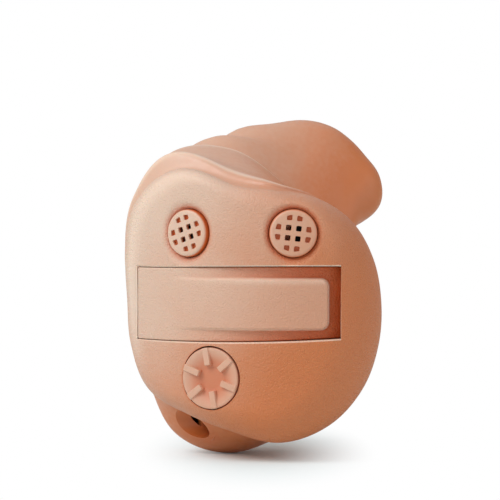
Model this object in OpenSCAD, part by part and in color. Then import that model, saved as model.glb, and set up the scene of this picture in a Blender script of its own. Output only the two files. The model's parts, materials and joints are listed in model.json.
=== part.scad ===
// In-the-canal hearing aid: a moulded shell and faceplate, with the battery drawer, two microphones,
// the volume control, the amplifier and the receiver that work inside it.
// X runs across the face, +Y into the ear and +Z up. The faceplate looks along -Y.

/* [Shell] */
// Mean reach of the faceplate's rim from the middle of the face
face_reach = 8; // [7.9:0.1:8.5]
// Depth from the front of the faceplate to the tip of the canal
body_depth = 20; // [19.6:0.2:22]
// Radius of the faceplate's bow, across the face
bow_r = 11; // [10.8:0.1:12]
// Wall of the shell
shell_wall = 0.8; // [0.6:0.05:0.85]
// Thickness of the faceplate
face_wall = 0.9; // [0.8:0.05:1]
// Radius of the vent's bore at its mouth
vent_r = 0.68; // [0.6:0.02:0.7]
// Depth of the vent's bore behind its mouth
vent_bore_l = 2.2; // [2:0.1:2.4]
// Radius of the vent's tube
vent_tube_r = 0.45; // [0.4:0.01:0.46]
// Radius of the sound outlet in the canal tip
outlet_r = 1; // [0.9:0.05:1.1]

/* [Battery and door] */
// Diameter of the button cell
cell_d = 7.9; // [7.7:0.1:7.9]
// Height of the button cell
cell_h = 3.6; // [3.4:0.1:3.6]
// Height of the battery door
door_h = 4.2; // [4.1:0.05:4.25]
// Reach of the door past the crest of the bow
door_past = 2.6; // [2.5:0.05:2.7]
// Thickness of the door in front of the cell
door_wall = 0.8; // [0.7:0.05:0.9]
// Depth of the door's front block
door_depth = 2.3; // [2.1:0.1:2.4]
// Depth of the nail recess at the door's free end
recess_depth = 0.85; // [0.6:0.05:0.9]
// Diameter of the hinge pin
pin_d = 0.7; // [0.6:0.05:0.75]
// Depth of the hinge pin's axis under the skin
pin_depth = 0.9; // [0.85:0.05:0.95]
// Radius of the door's knuckle
knuckle_r = 1.13; // [1.1:0.01:1.16]
// Wall of the battery bay
bay_wall = 0.25; // [0.2:0.05:0.3]
// Running gap round the door
door_gap = 0.06; // [0.04:0.01:0.07]

/* [Microphones] */
// Diameter of a microphone cover
cover_d = 2.75; // [2.6:0.05:2.8]
// Distance between the holes of a cover
grid_pitch = 0.585; // [0.56:0.005:0.6]
// Side of a square hole of a cover
grid_hole = 0.3; // [0.24:0.02:0.34]
// Diameter of a microphone
mic_d = 2.56; // [2.4:0.02:2.56]
// Length of a microphone
mic_l = 2.6; // [2.2:0.1:2.6]

/* [Volume control] */
// Diameter of the volume knob
knob_d = 3.56; // [3.4:0.02:3.6]
// Thickness of the volume knob
knob_h = 0.72; // [0.6:0.02:0.74]
// Number of ribs on the knob
rib_count = 6; // [4:1:8]
// Width of a rib
rib_w = 0.38; // [0.3:0.02:0.44]
// Diameter of the volume control's body
pot_d = 3; // [2.8:0.1:3.1]
// Depth of the volume control's body
pot_h = 1.6; // [1.4:0.1:1.8]

/* [Amplifier and receiver] */
// Width of the amplifier board
board_w = 6.4; // [6:0.1:6.6]
// Height of the amplifier board
board_h = 4.6; // [4.4:0.1:4.8]
// Thickness of the amplifier board
board_t = 0.35; // [0.25:0.05:0.4]
// Side of the signal chip
chip_w = 3.2; // [2.8:0.1:3.4]
// Thickness of the signal chip
chip_t = 0.9; // [0.7:0.1:1]
// Length of the telecoil
coil_l = 5; // [4.4:0.2:5.2]
// Diameter of the telecoil
coil_d = 1.4; // [1.2:0.1:1.4]
// Length of the receiver
receiver_l = 5; // [4.6:0.1:5.1]
// Width of the receiver
receiver_w = 2.7; // [2.5:0.1:2.8]
// Height of the receiver
receiver_h = 1.9; // [1.7:0.1:1.9]

/* [Hidden] */

// Colours
skin_tan = "#d7966e";
grille_tan = "#dca682";
steel = "#c9cbcd";
gold = "#d8b35a";
white_nylon = "#e8e6df";
rubber_black = "#2c2b2a";
board_green = "#2e6b46";
chip_black = "#26282b";
copper = "#b8743c";
clear_tube = "#cfd8dc";

// Fineness of the round forms, and one overrun for every cut
round_fn = 64;
overrun = 0.5;

// The skin is a net of rings round the face. Each table goes round the ring in equal steps, from +X
// towards +Z. Reaches are shares of face_reach, and depths are shares of body_depth.
spoke_count = 54;
rim_shares = [0.925, 0.919, 0.9125, 0.87, 0.8125, 0.85, 1.1125, 1.1375, 1.02,
    0.956, 0.981, 1.025, 0.9625, 0.9625, 1.044, 1.056, 1.019, 0.9625];
rim_depth_shares = [0.2, 0.195, 0.16, 0.12, 0.075, 0.1, 0.17, 0.22, 0.27,
    0.31, 0.3, 0.25, 0.17, 0.135, 0.13, 0.15, 0.175, 0.195];
roll_shares = [0.425, 0.375, 0.21, 0.125, 0.16, 0.16, 0.125, 0.1, 0.0875,
    0.0875, 0.1, 0.125, 0.15, 0.2, 0.26, 0.34, 0.39, 0.41];
sharp_shares = [1, 1, 1, 0.9, 0.1, 0.2, 0.9, 1, 1,
    1, 1, 1, 1, 1, 1, 1, 1, 1];
groove_shares = [0, 0, 0, 0, 0, 0.0125, 0.08, 0.0375, 0.0125,
    0.006, 0.006, 0.0375, 0.075, 0.0625, 0.025, 0.006, 0, 0];
swell_shares = [0.4, 0.4, 0.4, 0.4, 0.35, 0.3, 0.28, 0.3, 0.4,
    0.5, 0.5, 0.55, 0.65, 0.65, 0.6, 0.5, 0.4, 0.4];
ridge_shares = [0.8875, 0.875, 0.8625, 0.875, 0.871, 0.9625, 1.25, 1.1875, 1.0375,
    0.95, 0.969, 1.025, 1.175, 1.175, 1.056, 1.0125, 0.969, 0.925];
ridge_depth_shares = [0.33, 0.31, 0.27, 0.225, 0.21, 0.25, 0.32, 0.36, 0.37,
    0.375, 0.375, 0.37, 0.36, 0.36, 0.36, 0.355, 0.35, 0.34];
valley_shares = [0.0125, 0.0125, 0.0125, 0.0125, 0.03, 0.04, 0.04, 0.025, 0.0125,
    0.0125, 0.0125, 0.0125, 0.0125, 0.0125, 0.0125, 0.0125, 0.0125, 0.0125];
back_ridge_shares = [0.825, 0.7875, 0.75, 0.775, 0.93, 1.156, 1.275, 1.15, 0.994,
    0.9, 0.9125, 0.975, 1.1, 1.125, 1.05, 0.9625, 0.9, 0.8625];
crease_shares = [0.7625, 0.72, 0.675, 0.72, 0.9, 1.125, 1.2375, 1.1125, 0.95,
    0.8625, 0.875, 0.925, 1.0375, 1.0625, 0.9875, 0.9, 0.8375, 0.8];
crease_depth_shares = [0.53, 0.52, 0.51, 0.505, 0.505, 0.51, 0.52, 0.53, 0.535,
    0.54, 0.54, 0.54, 0.54, 0.54, 0.54, 0.54, 0.54, 0.535];
foot_shares = [0.6875, 0.6625, 0.6625, 0.744, 0.944, 1.225, 1.2, 0.95, 0.775,
    0.7125, 0.7, 0.7125, 0.775, 0.8, 0.75, 0.7, 0.6875, 0.6875];
foot_depth_shares = [0.575, 0.555, 0.54, 0.54, 0.54, 0.55, 0.57, 0.595, 0.615,
    0.635, 0.65, 0.655, 0.655, 0.655, 0.65, 0.635, 0.615, 0.595];
waist_shares = [0.4625, 0.375, 0.33, 0.325, 0.356, 0.4875, 0.6875, 0.7625, 0.625,
    0.525, 0.4875, 0.475, 0.475, 0.475, 0.475, 0.475, 0.475, 0.4875];
waist_depth_shares = [0.64, 0.63, 0.62, 0.615, 0.615, 0.62, 0.625, 0.635, 0.655,
    0.68, 0.705, 0.725, 0.735, 0.735, 0.725, 0.705, 0.68, 0.655];
canal_shares = [0.594, 0.5, 0.456, 0.444, 0.444, 0.4625, 0.5125, 0.606, 0.575,
    0.5, 0.45, 0.4375, 0.425, 0.425, 0.4375, 0.481, 0.556, 0.631];
canal_depth_shares = [0.695, 0.695, 0.69, 0.685, 0.685, 0.685, 0.69, 0.7, 0.715,
    0.735, 0.76, 0.785, 0.8, 0.8, 0.79, 0.76, 0.73, 0.705];
// Middles of the later rings, as shares of the reach across, the depth and the reach up
waist_middle_share = [0.3, 0, 0.694];
canal_middle_share = [0.3875, 0, 0.906];
taper_middle_share = [0.42, 0, 0.906];
neck_middle_share = [0.4625, 0.91, 0.9125];
nose_middle_share = [0.5, 0.972, 0.918];
tip_share = [0.5125, 1, 0.919];
seam_share = 0.025;
back_ridge_depth_share = 0.475;
taper_end_share = 0.93;
taper_reach_share = 0.1625;
neck_reach_share = 0.2;
nose_reach_share = 0.225;
row_step_count = 2;
dome_row_shares = [0.25, 0.5, 0.75, 1];
roll_row_shares = [0.4, 0.65, 0.84, 0.95, 1];

// One of the curves through four values, and a table's value at an angle
function spline(a, b, c, d, t) =
    0.5 * (2 * b + (c - a) * t + (2 * a - 5 * b + 4 * c - d) * t * t + (3 * b - a - 3 * c + d) * t * t * t);
function round_table(table, angle) =
    let (n = len(table), f = angle * n / 360, i = floor(f))
    spline(table[(i + n - 1) % n], table[i % n], table[(i + 1) % n], table[(i + 2) % n], f - i);
function reach_at(table, angle) = face_reach * round_table(table, angle);
function depth_at(table, angle) = body_depth * round_table(table, angle);
function sized(share) = [share[0] * face_reach, share[1] * body_depth, share[2] * face_reach];
function on_ring(middle, reach, depth, angle) =
    middle + [reach * cos(angle), depth, reach * sin(angle)];

lip_clear = 0.15;
bow_x = 0.275 * face_reach;
// The bow is an arc, and runs on straight past the limit
bow_limit = 0.93 * bow_r;
function bow_depth(x) =
    let (across = abs(x - bow_x), arc = min(across, bow_limit), drop = sqrt(bow_r * bow_r - arc * arc))
    bow_r - drop + (across - arc) * arc / drop;
// A point of the faceplate's dome: flat_t runs over the flat of the face, then roll_t over its roll
function roll_fall(t, sharp) = sharp * (1 - sqrt(1 - t * t)) + (1 - sharp) * t * t;
function dome_point(angle, flat_t, roll_t, back) =
    let (rim = reach_at(rim_shares, angle),
         roll = reach_at(roll_shares, angle),
         reach = flat_t * (rim - roll) + roll_t * roll,
         drop = depth_at(rim_depth_shares, angle) - bow_depth(rim * cos(angle)),
         sharp = min(1, max(0, round_table(sharp_shares, angle))),
         inset = back ? (shell_wall + reach_at(groove_shares, angle) + lip_clear) * reach / rim : 0,
         x = reach * cos(angle))
    [x - inset * cos(angle),
     bow_depth(x) + drop * roll_fall(roll_t, sharp) + (back ? face_wall * (1 - 0.6 * roll_t * roll_t) : 0),
     (reach - inset) * sin(angle)];

// The shell's rings, from the seam behind the rim to the nose of the canal
function seam_reach(angle) = reach_at(rim_shares, angle) - reach_at(groove_shares, angle);
function seam_depth(angle) = depth_at(rim_depth_shares, angle) + seam_share * body_depth;
function ring_point(k, angle) =
    let (swell = round_table(swell_shares, angle),
         ridge = reach_at(ridge_shares, angle),
         ridge_depth = depth_at(ridge_depth_shares, angle),
         back_ridge = reach_at(back_ridge_shares, angle),
         canal = reach_at(canal_shares, angle),
         canal_depth = depth_at(canal_depth_shares, angle),
         o = [0, 0, 0])
    k == 0 ? on_ring(o, seam_reach(angle), seam_depth(angle), angle)
    : k == 1 ? on_ring(o, (1 - swell) * seam_reach(angle) + swell * ridge,
                       0.45 * seam_depth(angle) + 0.55 * ridge_depth, angle)
    : k == 2 ? on_ring(o, ridge, ridge_depth, angle)
    : k == 3 ? on_ring(o, (ridge + back_ridge) / 2 - reach_at(valley_shares, angle),
                       (ridge_depth + back_ridge_depth_share * body_depth) / 2, angle)
    : k == 4 ? on_ring(o, back_ridge, back_ridge_depth_share * body_depth, angle)
    : k == 5 ? on_ring(o, reach_at(crease_shares, angle), depth_at(crease_depth_shares, angle), angle)
    : k == 6 ? on_ring(o, reach_at(foot_shares, angle), depth_at(foot_depth_shares, angle), angle)
    : k == 7 ? on_ring(sized(waist_middle_share), reach_at(waist_shares, angle),
                       depth_at(waist_depth_shares, angle), angle)
    : k == 8 ? on_ring(sized(canal_middle_share), canal, canal_depth, angle)
    : k == 9 ? on_ring(sized(taper_middle_share), 0.6 * canal + taper_reach_share * face_reach,
                       (canal_depth + taper_end_share * body_depth) / 2, angle)
    : k == 10 ? on_ring(sized(neck_middle_share), 0.35 * canal + neck_reach_share * face_reach, 0, angle)
    : k == 11 ? on_ring(sized(nose_middle_share), 0.1 * canal + nose_reach_share * face_reach, 0, angle)
    : sized(tip_share);
ring_count = 12;
inner_ring_count = 10;

// The sound outlet: where it leaves the nose, and which way
outlet_angle = -15;
outlet_rise_angle = 13;
outlet_at = sized([0.531, 0.9725, 0.956]);
outlet_way = [-cos(outlet_rise_angle) * sin(outlet_angle), cos(outlet_rise_angle) * cos(outlet_angle),
    sin(outlet_rise_angle)];
outlet_side = unit(cross(outlet_way, [0, 0, 1]));
outlet_up = cross(outlet_side, outlet_way);
function unit(v) = v / norm(v);
function by_outlet(share) =
    outlet_at - share[0] * body_depth * outlet_way + face_reach * (share[1] * outlet_side +
        share[2] * outlet_up);
vent_exit_at = by_outlet([0, -0.116, -0.166]);
nose_l = 0.14 * body_depth;
tube_wall = 0.12;
tube_gap = 0.02;
vent_socket_l = 0.9;
guard_lip = 0.12;
grille_proud = 0.04;
guard_lip_r = 1.12 * outlet_r;

// How much of the wall goes radially and how much along the depth, ring by ring, on the inner side
function under_share(angle) = 0.5 - 0.5 * cos(angle - 75);
inner_back_shares = [0, 0, 0, 0, 0.1, 0.6, 1, 1, 0.8, 0.5, 0.6];
function inner_point(k, angle) =
    let (p = ring_point(k, angle),
         c = k < 7 ? [0, 0, 0] : k == 7 ? sized(waist_middle_share) : sized(canal_middle_share),
         out = [p[0] - c[0], 0, p[2] - c[2]],
         in = k == 1 ? 1.05 : 1)
    p - out / norm(out) * shell_wall * in
      - [0, shell_wall * inner_back_shares[k] * under_share(angle), 0];

angles = [for (i = [0 : spoke_count - 1]) i * 360 / spoke_count];
function blend_rows(rows, steps) =
    let (n = len(rows))
    [for (i = [0 : n - 2])
        for (s = [0 : steps - 1])
            [for (j = [0 : len(rows[0]) - 1])
                spline(rows[max(i - 1, 0)][j], rows[i][j], rows[i + 1][j], rows[min(i + 2, n - 1)][j],
                    s / steps)],
     rows[n - 1]];
outer_rings = [for (k = [0 : ring_count]) [for (a = angles) ring_point(k, a)]];
outer_rows = blend_rows(outer_rings, row_step_count);
inner_rows = [for (k = [inner_ring_count : -1 : 0]) [for (a = angles) inner_point(k, a)]];
dome_rows = concat(
    [for (t = dome_row_shares) [for (a = angles) dome_point(a, t, 0, false)]],
    [for (t = roll_row_shares) [for (a = angles) dome_point(a, 1, t, false)]]);
dome_back_rows = concat(
    [for (i = [len(roll_row_shares) - 1 : -2 : 0])
        [for (a = angles) dome_point(a, 1, roll_row_shares[i], true)]],
    [for (i = [len(dome_row_shares) - 1 : -1 : 0])
        [for (a = angles) dome_point(a, dome_row_shares[i], 0, true)]]);

// A closed body from rows of points, with a pole before the first row and after the last
function flat(rows) = [for (row = rows) each row];
function strip(a, b, n) =
    [for (j = [0 : n - 1]) each let (k = (j + 1) % n) [[a + j, b + k, b + j], [a + j, a + k, b + k]]];
function turned_strip(a, b, n) =
    [for (j = [0 : n - 1]) each let (k = (j + 1) % n) [[a + j, a + k, b + j], [a + k, b + k, b + j]]];
module rows_body(first, rows, last) {
    n = len(rows[0]);
    points = concat([first], flat(rows), [last]);
    end = len(points) - 1;
    polyhedron(points = points, convexity = 8, faces = concat(
        [for (j = [0 : n - 1]) [0, 1 + (j + 1) % n, 1 + j]],
        [for (r = [0 : len(rows) - 2]) each strip(1 + r * n, 1 + (r + 1) * n, n)],
        [for (j = [0 : n - 1]) [end, end - n + j, end - n + (j + 1) % n]]));
}

// The origin is under the middle of the finished body
all_points = concat(flat(outer_rows), flat(dome_rows));
function low(i) = min([for (p = all_points) p[i]]);
function high(i) = max([for (p = all_points) p[i]]);
back_end = outlet_at[1] + guard_lip * outlet_way[1] + guard_lip_r * sqrt(1 - outlet_way[1] * outlet_way[1]);
origin = [(low(0) + high(0)) / 2, (back_end - grille_proud) / 2, low(2)];
module placed() {
    translate(-origin) children();
}

// Places on the face, and the way out of them. Local +Z looks out of the face.
front_mic_x = 0.273 * face_reach;
rear_mic_x = -0.4975 * face_reach;
knob_x = -0.329 * face_reach;
knob_up = -0.549 * face_reach;
function bow_turn(x) = asin((x - bow_x) / bow_r);
module on_face(x, up) {
    translate([x, bow_depth(x), up]) rotate([0, 0, bow_turn(x)]) rotate([90, 0, 0]) children();
}

// The door's middle height, its hinge and the cell in it, seen from above
door_mid = -0.0155 * face_reach;
cell_r = cell_d / 2;
cell_clear = 0.05;
cell_shake = 0.15;
pocket_r = cell_r + cell_clear;
cradle_wall = 0.25;
cradle_r = pocket_r + cradle_wall;
cell_angle = -20;
pin_angle = -52;
function under_bow(turn, depth) = [bow_x + (bow_r - depth) * sin(turn), bow_r - (bow_r -
    depth) * cos(turn)];
bow_middle = [bow_x, bow_r];
cell_at = under_bow(cell_angle, door_wall + cell_shake + cell_r);
pin_at = under_bow(pin_angle, pin_depth);
door_corner = under_bow(asin(door_past / bow_r), 0);
door_reach = norm(door_corner - pin_at);
cell_far = norm(cell_at - pin_at);
cradle_far = cell_far + cradle_r;
cradle_angle = atan2(cell_at[1] - pin_at[1], cell_at[0] - pin_at[0]);
pin_clear = 0.03;
floor_gap = 0.02;
cradle_low = door_mid - 0.475 * door_h;
cell_low = door_mid - cell_h / 2;
cell_high = door_mid + cell_h / 2;
cradle_high = door_mid - 0.02 * door_h;
floor_hole_r = 0.78 * cell_r;
// The door's edges bow a little: two large radii, and the place of each crest
edge_low_r = 167;
edge_high_r = 345;
edge_low_x = -0.49 * face_reach;
edge_high_x = 0.375 * face_reach;
edge_low = door_mid - 0.511 * door_h;
edge_high = door_mid + 0.511 * door_h;
// The microphones stand clear above the bay
mic_room = 0.288;
mic_up = edge_high + 2 * door_gap + bay_wall + mic_d / 2 + mic_room;

module door_outline(gap) {
    intersection() {
        translate([edge_low_x, edge_low - gap + edge_low_r]) circle(r = edge_low_r, $fn = 6 * round_fn);
        translate([edge_high_x, edge_high + gap - edge_high_r]) circle(r = edge_high_r, $fn = 6 * round_fn);
        translate([-2 * face_reach, -door_h]) square([4 * face_reach, 2 * door_h]);
    }
}

// Extrudes a plan drawn in X and Y between two heights
module plan_body(low_z, high_z) {
    translate([0, 0, low_z]) linear_extrude(height = high_z - low_z) children();
}
// Extrudes an outline drawn in X and Z right through the body
module through_body(from_y, to_y) {
    translate([0, to_y, 0]) rotate([90, 0, 0]) linear_extrude(height = to_y - from_y) children();
}
module disc(at, r) {
    translate(at) circle(r = r, $fn = round_fn);
}

// Everything on the door's side of the line that runs through the pin, square to the bow
module past_pin() {
    translate(pin_at) rotate([0, 0, pin_angle]) translate([0, -2 * door_reach])
        square([2 * door_reach, 4 * door_reach]);
}
// The room that the door's plan takes: its front block and its knuckle
module door_plan(gap, skin_r) {
    intersection() {
        disc(bow_middle, skin_r);
        union() {
            disc(pin_at, knuckle_r + gap);
            difference() {
                intersection() {
                    disc(pin_at, door_reach + gap);
                    past_pin();
                }
                disc(bow_middle, bow_r - door_depth - gap);
            }
        }
    }
}

module shell() {
    color(skin_tan) placed() difference() {
        union() {
            skin_shell();
            vent_boss();
        }
        vent_bore();
        outlet_bore(outlet_r);
        vent_exit_bore(vent_tube_r - tube_wall);
    }
}
module skin_shell() {
    n = spoke_count;
    outer = [for (i = [0 : len(outer_rows) - 2]) outer_rows[i]];
    tip = outer_rows[len(outer_rows) - 1][0];
    inner_tip = sized(neck_middle_share) - [0, shell_wall, 0];
    a = len(outer) * n;
    b = len(inner_rows) * n;
    points = concat(flat(outer), [tip, inner_tip], flat(inner_rows));
    polyhedron(points = points, convexity = 8, faces = concat(
        [for (r = [0 : len(outer) - 2]) each strip(r * n, (r + 1) * n, n)],
        [for (j = [0 : n - 1]) [a, a - n + j, a - n + (j + 1) % n]],
        [for (j = [0 : n - 1]) [a + 1, a + 2 + (j + 1) % n, a + 2 + j]],
        [for (r = [0 : len(inner_rows) - 2]) each strip(a + 2 + r * n, a + 2 + (r + 1) * n, n)],
        turned_strip(a + 2 + b - n, 0, n)));
}

// The vent's straight bore runs back, right and up from its mouth in the lower bulge
vent_mouth = sized([-0.4375, 0.265, -0.9375]);
vent_angle = -60;
vent_rise_angle = 9;
vent_end = vent_bore_l + vent_socket_l;
vent_way = [-cos(vent_rise_angle) * sin(vent_angle), cos(vent_rise_angle) * cos(vent_angle),
    sin(vent_rise_angle)];
boss_wall = 0.35;
boss_r = vent_r + boss_wall;
boss_start = 0.75;
flare_r = 1.2;
flare_out = 1;
flare_in = 0.6;
// The bore's mouth flares, and the tube's end sits in a socket behind the bore
module along_vent() {
    translate(vent_mouth) rotate([0, 0, vent_angle]) rotate([vent_rise_angle - 90, 0, 0]) children();
}
module vent_boss() {
    along_vent() translate([0, 0, boss_start]) cylinder(r = boss_r, h = vent_end - boss_start,
        $fn = round_fn);
}
module vent_bore() {
    along_vent() {
        cylinder(r = vent_r, h = vent_bore_l, $fn = round_fn);
        translate([0, 0, -flare_out])
            cylinder(r1 = flare_r, r2 = vent_r, h = flare_out + flare_in, $fn = round_fn);
        translate([0, 0, -2 * flare_out]) cylinder(r = flare_r, h = flare_out, $fn = round_fn);
        cylinder(r = vent_tube_r + 2 * tube_gap, h = vent_end + overrun, $fn = round_fn);
    }
}

// The sound outlet and the vent's exit, in the nose of the canal
module along_outlet(at) {
    translate(at) rotate([0, 0, outlet_angle]) rotate([outlet_rise_angle - 90, 0, 0]) children();
}
module outlet_bore(r) {
    along_outlet(outlet_at) {
        translate([0, 0, -nose_l]) cylinder(r = r, h = nose_l + overrun, $fn = round_fn);
        translate([0, 0, -tube_gap]) cylinder(r = guard_lip_r + tube_gap, h = nose_l, $fn = round_fn);
    }
}
module vent_exit_bore(r) {
    along_outlet(vent_exit_at) translate([0, 0, -nose_l]) cylinder(r = r, h = 2 * nose_l, $fn = round_fn);
}

// The faceplate, with the wells for the covers, the hinge's ears and the microphones' sleeves
cover_gap = 0.125;
cover_well = 0.6;
well_r = cover_d / 2 + cover_gap;
dish_r = 1.25 * well_r;
dish_depth = 0.28;
sleeve_wall = 0.28;
sleeve_r = mic_d / 2 + sleeve_wall;
sleeve_end = 2;
sleeve_start = 0.5;
mic_clear = 0.03;
floor_end = 0.85;
port_r = 0.55;
front_port_x = 0.29;
ear_r = 0.8;
ear_h = 0.8;
knob_clear = 0.07;
module faceplate() {
    color(skin_tan) placed() difference() {
        union() {
            rows_body(dome_point(0, 0, 0, false),
                concat(dome_rows, [outer_rows[0], inner_rows[len(inner_rows) - 1]], dome_back_rows),
                dome_point(0, 0, 0, true));
            translate([pin_at[0], pin_at[1], edge_high + 2 * door_gap])
                cylinder(r = ear_r, h = ear_h, $fn = round_fn);
            translate([pin_at[0], pin_at[1], edge_low - 2 * door_gap - ear_h])
                cylinder(r = ear_r, h = ear_h, $fn = round_fn);
            mic_sleeve(front_mic_x);
            mic_sleeve(rear_mic_x);
        }
        door_hole();
        mic_well(front_mic_x, front_port_x);
        mic_well(rear_mic_x, 0);
        on_face(knob_x, knob_up) translate([0, 0, -pot_at - pot_h - tab_l])
            cylinder(r = knob_d / 2 + knob_clear, h = 2 * (pot_at + pot_h), $fn = round_fn);
        translate([pin_at[0], pin_at[1], pin_low]) cylinder(r = pin_d / 2, h = pin_l, $fn = round_fn);
    }
}
module mic_sleeve(x) {
    on_face(x, mic_up) translate([0, 0, -sleeve_end])
        cylinder(r = sleeve_r, h = sleeve_end - sleeve_start, $fn = round_fn);
}
module mic_well(x, port_x) {
    on_face(x, mic_up) {
        translate([0, 0, -cover_well]) cylinder(r = well_r, h = 2 * cover_well + overrun, $fn = round_fn);
        translate([0, 0, -dish_depth]) cylinder(r1 = well_r, r2 = dish_r, h = dish_depth, $fn = round_fn);
        translate([0, 0, -sleeve_end - overrun])
            cylinder(r = mic_d / 2 + mic_clear, h = sleeve_end + overrun - floor_end, $fn = round_fn);
        translate([port_x, 0, -sleeve_end]) cylinder(r = port_r, h = sleeve_end, $fn = round_fn);
    }
}
module door_hole() {
    intersection() {
        plan_body(edge_low - 2 * door_gap, edge_high + 2 * door_gap) {
            disc(pin_at, knuckle_r + door_gap);
            intersection() {
                disc(pin_at, door_reach + door_gap);
                past_pin();
            }
        }
        through_body(-2 * overrun, body_depth / 2) door_outline(door_gap);
    }
}

// The door: a bowed front with a pad, a block behind it and the cradle that holds the cell
pad_right = 0.528 * face_reach;
pad_low = door_mid - 0.344 * door_h;
pad_high = door_mid + 0.349 * door_h;
pad_corner = 0.47;
recess_start = -0.625 * face_reach;
corner_in = door_corner + [0, recess_depth];
start_at = [recess_start, bow_depth(recess_start)];
// A disc through both ends of the recess, with its middle as deep as the bow's
recess_x = (start_at[0] + corner_in[0]) / 2
    + ((corner_in[1] - bow_r) * (corner_in[1] - bow_r) - (start_at[1] - bow_r) * (start_at[1] - bow_r))
      / (2 * (corner_in[0] - start_at[0]));
recess_r = norm(start_at - [recess_x, bow_r]);
slot_half = 0.8;
slot_r1 = cell_far - slot_half;
slot_r2 = cell_far + slot_half;
module door_front(low_z, high_z) {
    intersection() {
        union() {
            plan_body(low_z, high_z) intersection() {
                door_plan(0, bow_r);
                disc([recess_x, bow_r], recess_r);
            }
            intersection() {
                plan_body(low_z, high_z) door_plan(0, bow_r);
                through_body(-overrun, body_depth / 2) pad_outline();
            }
        }
        through_body(-overrun, body_depth / 2) door_outline(0);
    }
}
module pad_outline() {
    translate([-2 * face_reach, pad_low])
        square([2 * face_reach + pad_right - pad_corner, pad_high - pad_low]);
    translate([-2 * face_reach, pad_low + pad_corner])
        square([2 * face_reach + pad_right, pad_high - pad_low - 2 * pad_corner]);
    disc([pad_right - pad_corner, pad_low + pad_corner], pad_corner);
    disc([pad_right - pad_corner, pad_high - pad_corner], pad_corner);
}
module battery_door() {
    color(skin_tan) placed() difference() {
        union() {
            door_front(edge_low - overrun, edge_high + overrun);
            plan_body(cradle_low, cradle_high) intersection() {
                disc(cell_at, cradle_r);
                disc(bow_middle, bow_r - door_wall / 2);
            }
        }
        plan_body(cell_low - floor_gap, edge_high + overrun) disc(cell_at, pocket_r);
        plan_body(cradle_low - overrun, cell_low) disc(cell_at, floor_hole_r);
        contact_slot();
        translate([pin_at[0], pin_at[1], edge_low - overrun])
            cylinder(r = pin_d / 2 + pin_clear, h = door_h + 2 * overrun, $fn = round_fn);
    }
}
// An arc about the pin, open at the back, that lets the door swing past the cell's lower contact
module contact_slot() {
    plan_body(edge_low - overrun, cell_low + cell_clear) intersection() {
        difference() {
            disc(pin_at, slot_r2);
            disc(pin_at, slot_r1);
        }
        translate(cell_at - [cell_r, 0]) square([cell_d, cradle_r + overrun]);
    }
}

// The pin, held in the ears
pin_inset = 0.1;
pin_low = edge_low - 2 * door_gap - ear_h + pin_inset;
pin_l = edge_high - edge_low + 4 * door_gap + 2 * ear_h - 2 * pin_inset;
module hinge_pin() {
    color(steel) placed() translate([pin_at[0], pin_at[1], pin_low])
        cylinder(r = pin_d / 2, h = pin_l, $fn = round_fn);
}

// The cell: can, seal and cap, with the cap below
can_wall = 0.2;
cap_proud = 0.2;
seal_t = 0.3;
cap_r = cell_r - can_wall - seal_t;
air_hole_r = 0.2;
module battery_can() {
    color(steel) placed() translate([cell_at[0], cell_at[1], 0]) difference() {
        plan_body(cell_low + cap_proud, cell_high) disc([0, 0], cell_r);
        plan_body(cell_low - overrun, cell_high - 2 * can_wall) disc([0, 0], cell_r - can_wall);
        for (a = [45 : 90 : 315])
            translate([cell_r * 0.45 * cos(a), cell_r * 0.45 * sin(a), cell_high - can_wall])
                cylinder(r = air_hole_r, h = can_wall + overrun, $fn = round_fn / 4);
    }
}
module battery_seal() {
    color(white_nylon) placed() translate([cell_at[0], cell_at[1], 0])
        plan_body(cell_low + cap_proud, cell_low + cell_h / 2) difference() {
            disc([0, 0], cell_r - can_wall);
            disc([0, 0], cap_r);
        }
}
module battery_cap() {
    color(steel) placed() translate([cell_at[0], cell_at[1], 0]) union() {
        plan_body(cell_low + cap_proud / 2, cell_high - 2 * can_wall) disc([0, 0], cap_r);
        plan_body(cell_low, cell_low + cap_proud / 2) disc([0, 0], cap_r - cap_proud / 2);
    }
}

// The bay behind the door: walls and two plates, open to the front
bay_low = edge_low - 2 * door_gap;
bay_high = edge_high + 2 * door_gap;
bay_plate = 0.18;
bay_corner_x = 0.4 * face_reach;
bay_corner_angle = 42;
seat_gap = 0.3;
contact_t = 0.14;
contact_h = 1.2;
contact_up = 0.25;
contact_low = door_mid + contact_up;
contact_gap = 0.03;
module bay_plan(gap) {
    disc(cell_at, cradle_r + gap);
    intersection() {
        disc(pin_at, cradle_far + gap);
        translate([cell_at[0], 0]) square([cradle_far, cell_at[1] + cradle_r * sin(cradle_angle)]);
    }
    intersection() {
        disc(pin_at, door_reach + gap);
        difference() {
            translate([pin_at[0] + knuckle_r + gap, 0]) square([door_reach, door_reach]);
            disc(bow_middle, bow_r - door_depth - gap);
        }
    }
}
module battery_bay() {
    color(skin_tan) placed() difference() {
        intersection() {
            plan_body(bay_low - bay_plate, bay_high + bay_wall) bay_plan(2 * door_gap + bay_wall);
            plan_body(bay_low - bay_wall, bay_high + 2 * bay_wall) intersection() {
                disc(bow_middle, bow_r - face_wall - seat_gap);
                translate([pin_at[0] + knuckle_r + door_gap, 0]) square([2 * face_reach, body_depth]);
            }
        }
        plan_body(bay_low, bay_high) bay_plan(2 * door_gap);
        translate([bay_corner_x, face_wall + seat_gap, bay_low - overrun]) rotate([0, 0, bay_corner_angle])
            translate([-overrun, -face_reach, 0])
                cube([face_reach, face_reach, bay_high - bay_low + 2 * overrun]);
        plan_body(contact_low - contact_gap, contact_low + contact_h + contact_gap)
            positive_foot(contact_gap);
        plan_body(bay_low - overrun, bay_low + contact_t + contact_gap) negative_foot(contact_gap);
        on_face(knob_x, knob_up) translate([0, 0, -3 * pot_h])
            cylinder(r = flange_r + door_gap, h = 3 * pot_h, $fn = round_fn);
    }
}

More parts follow.
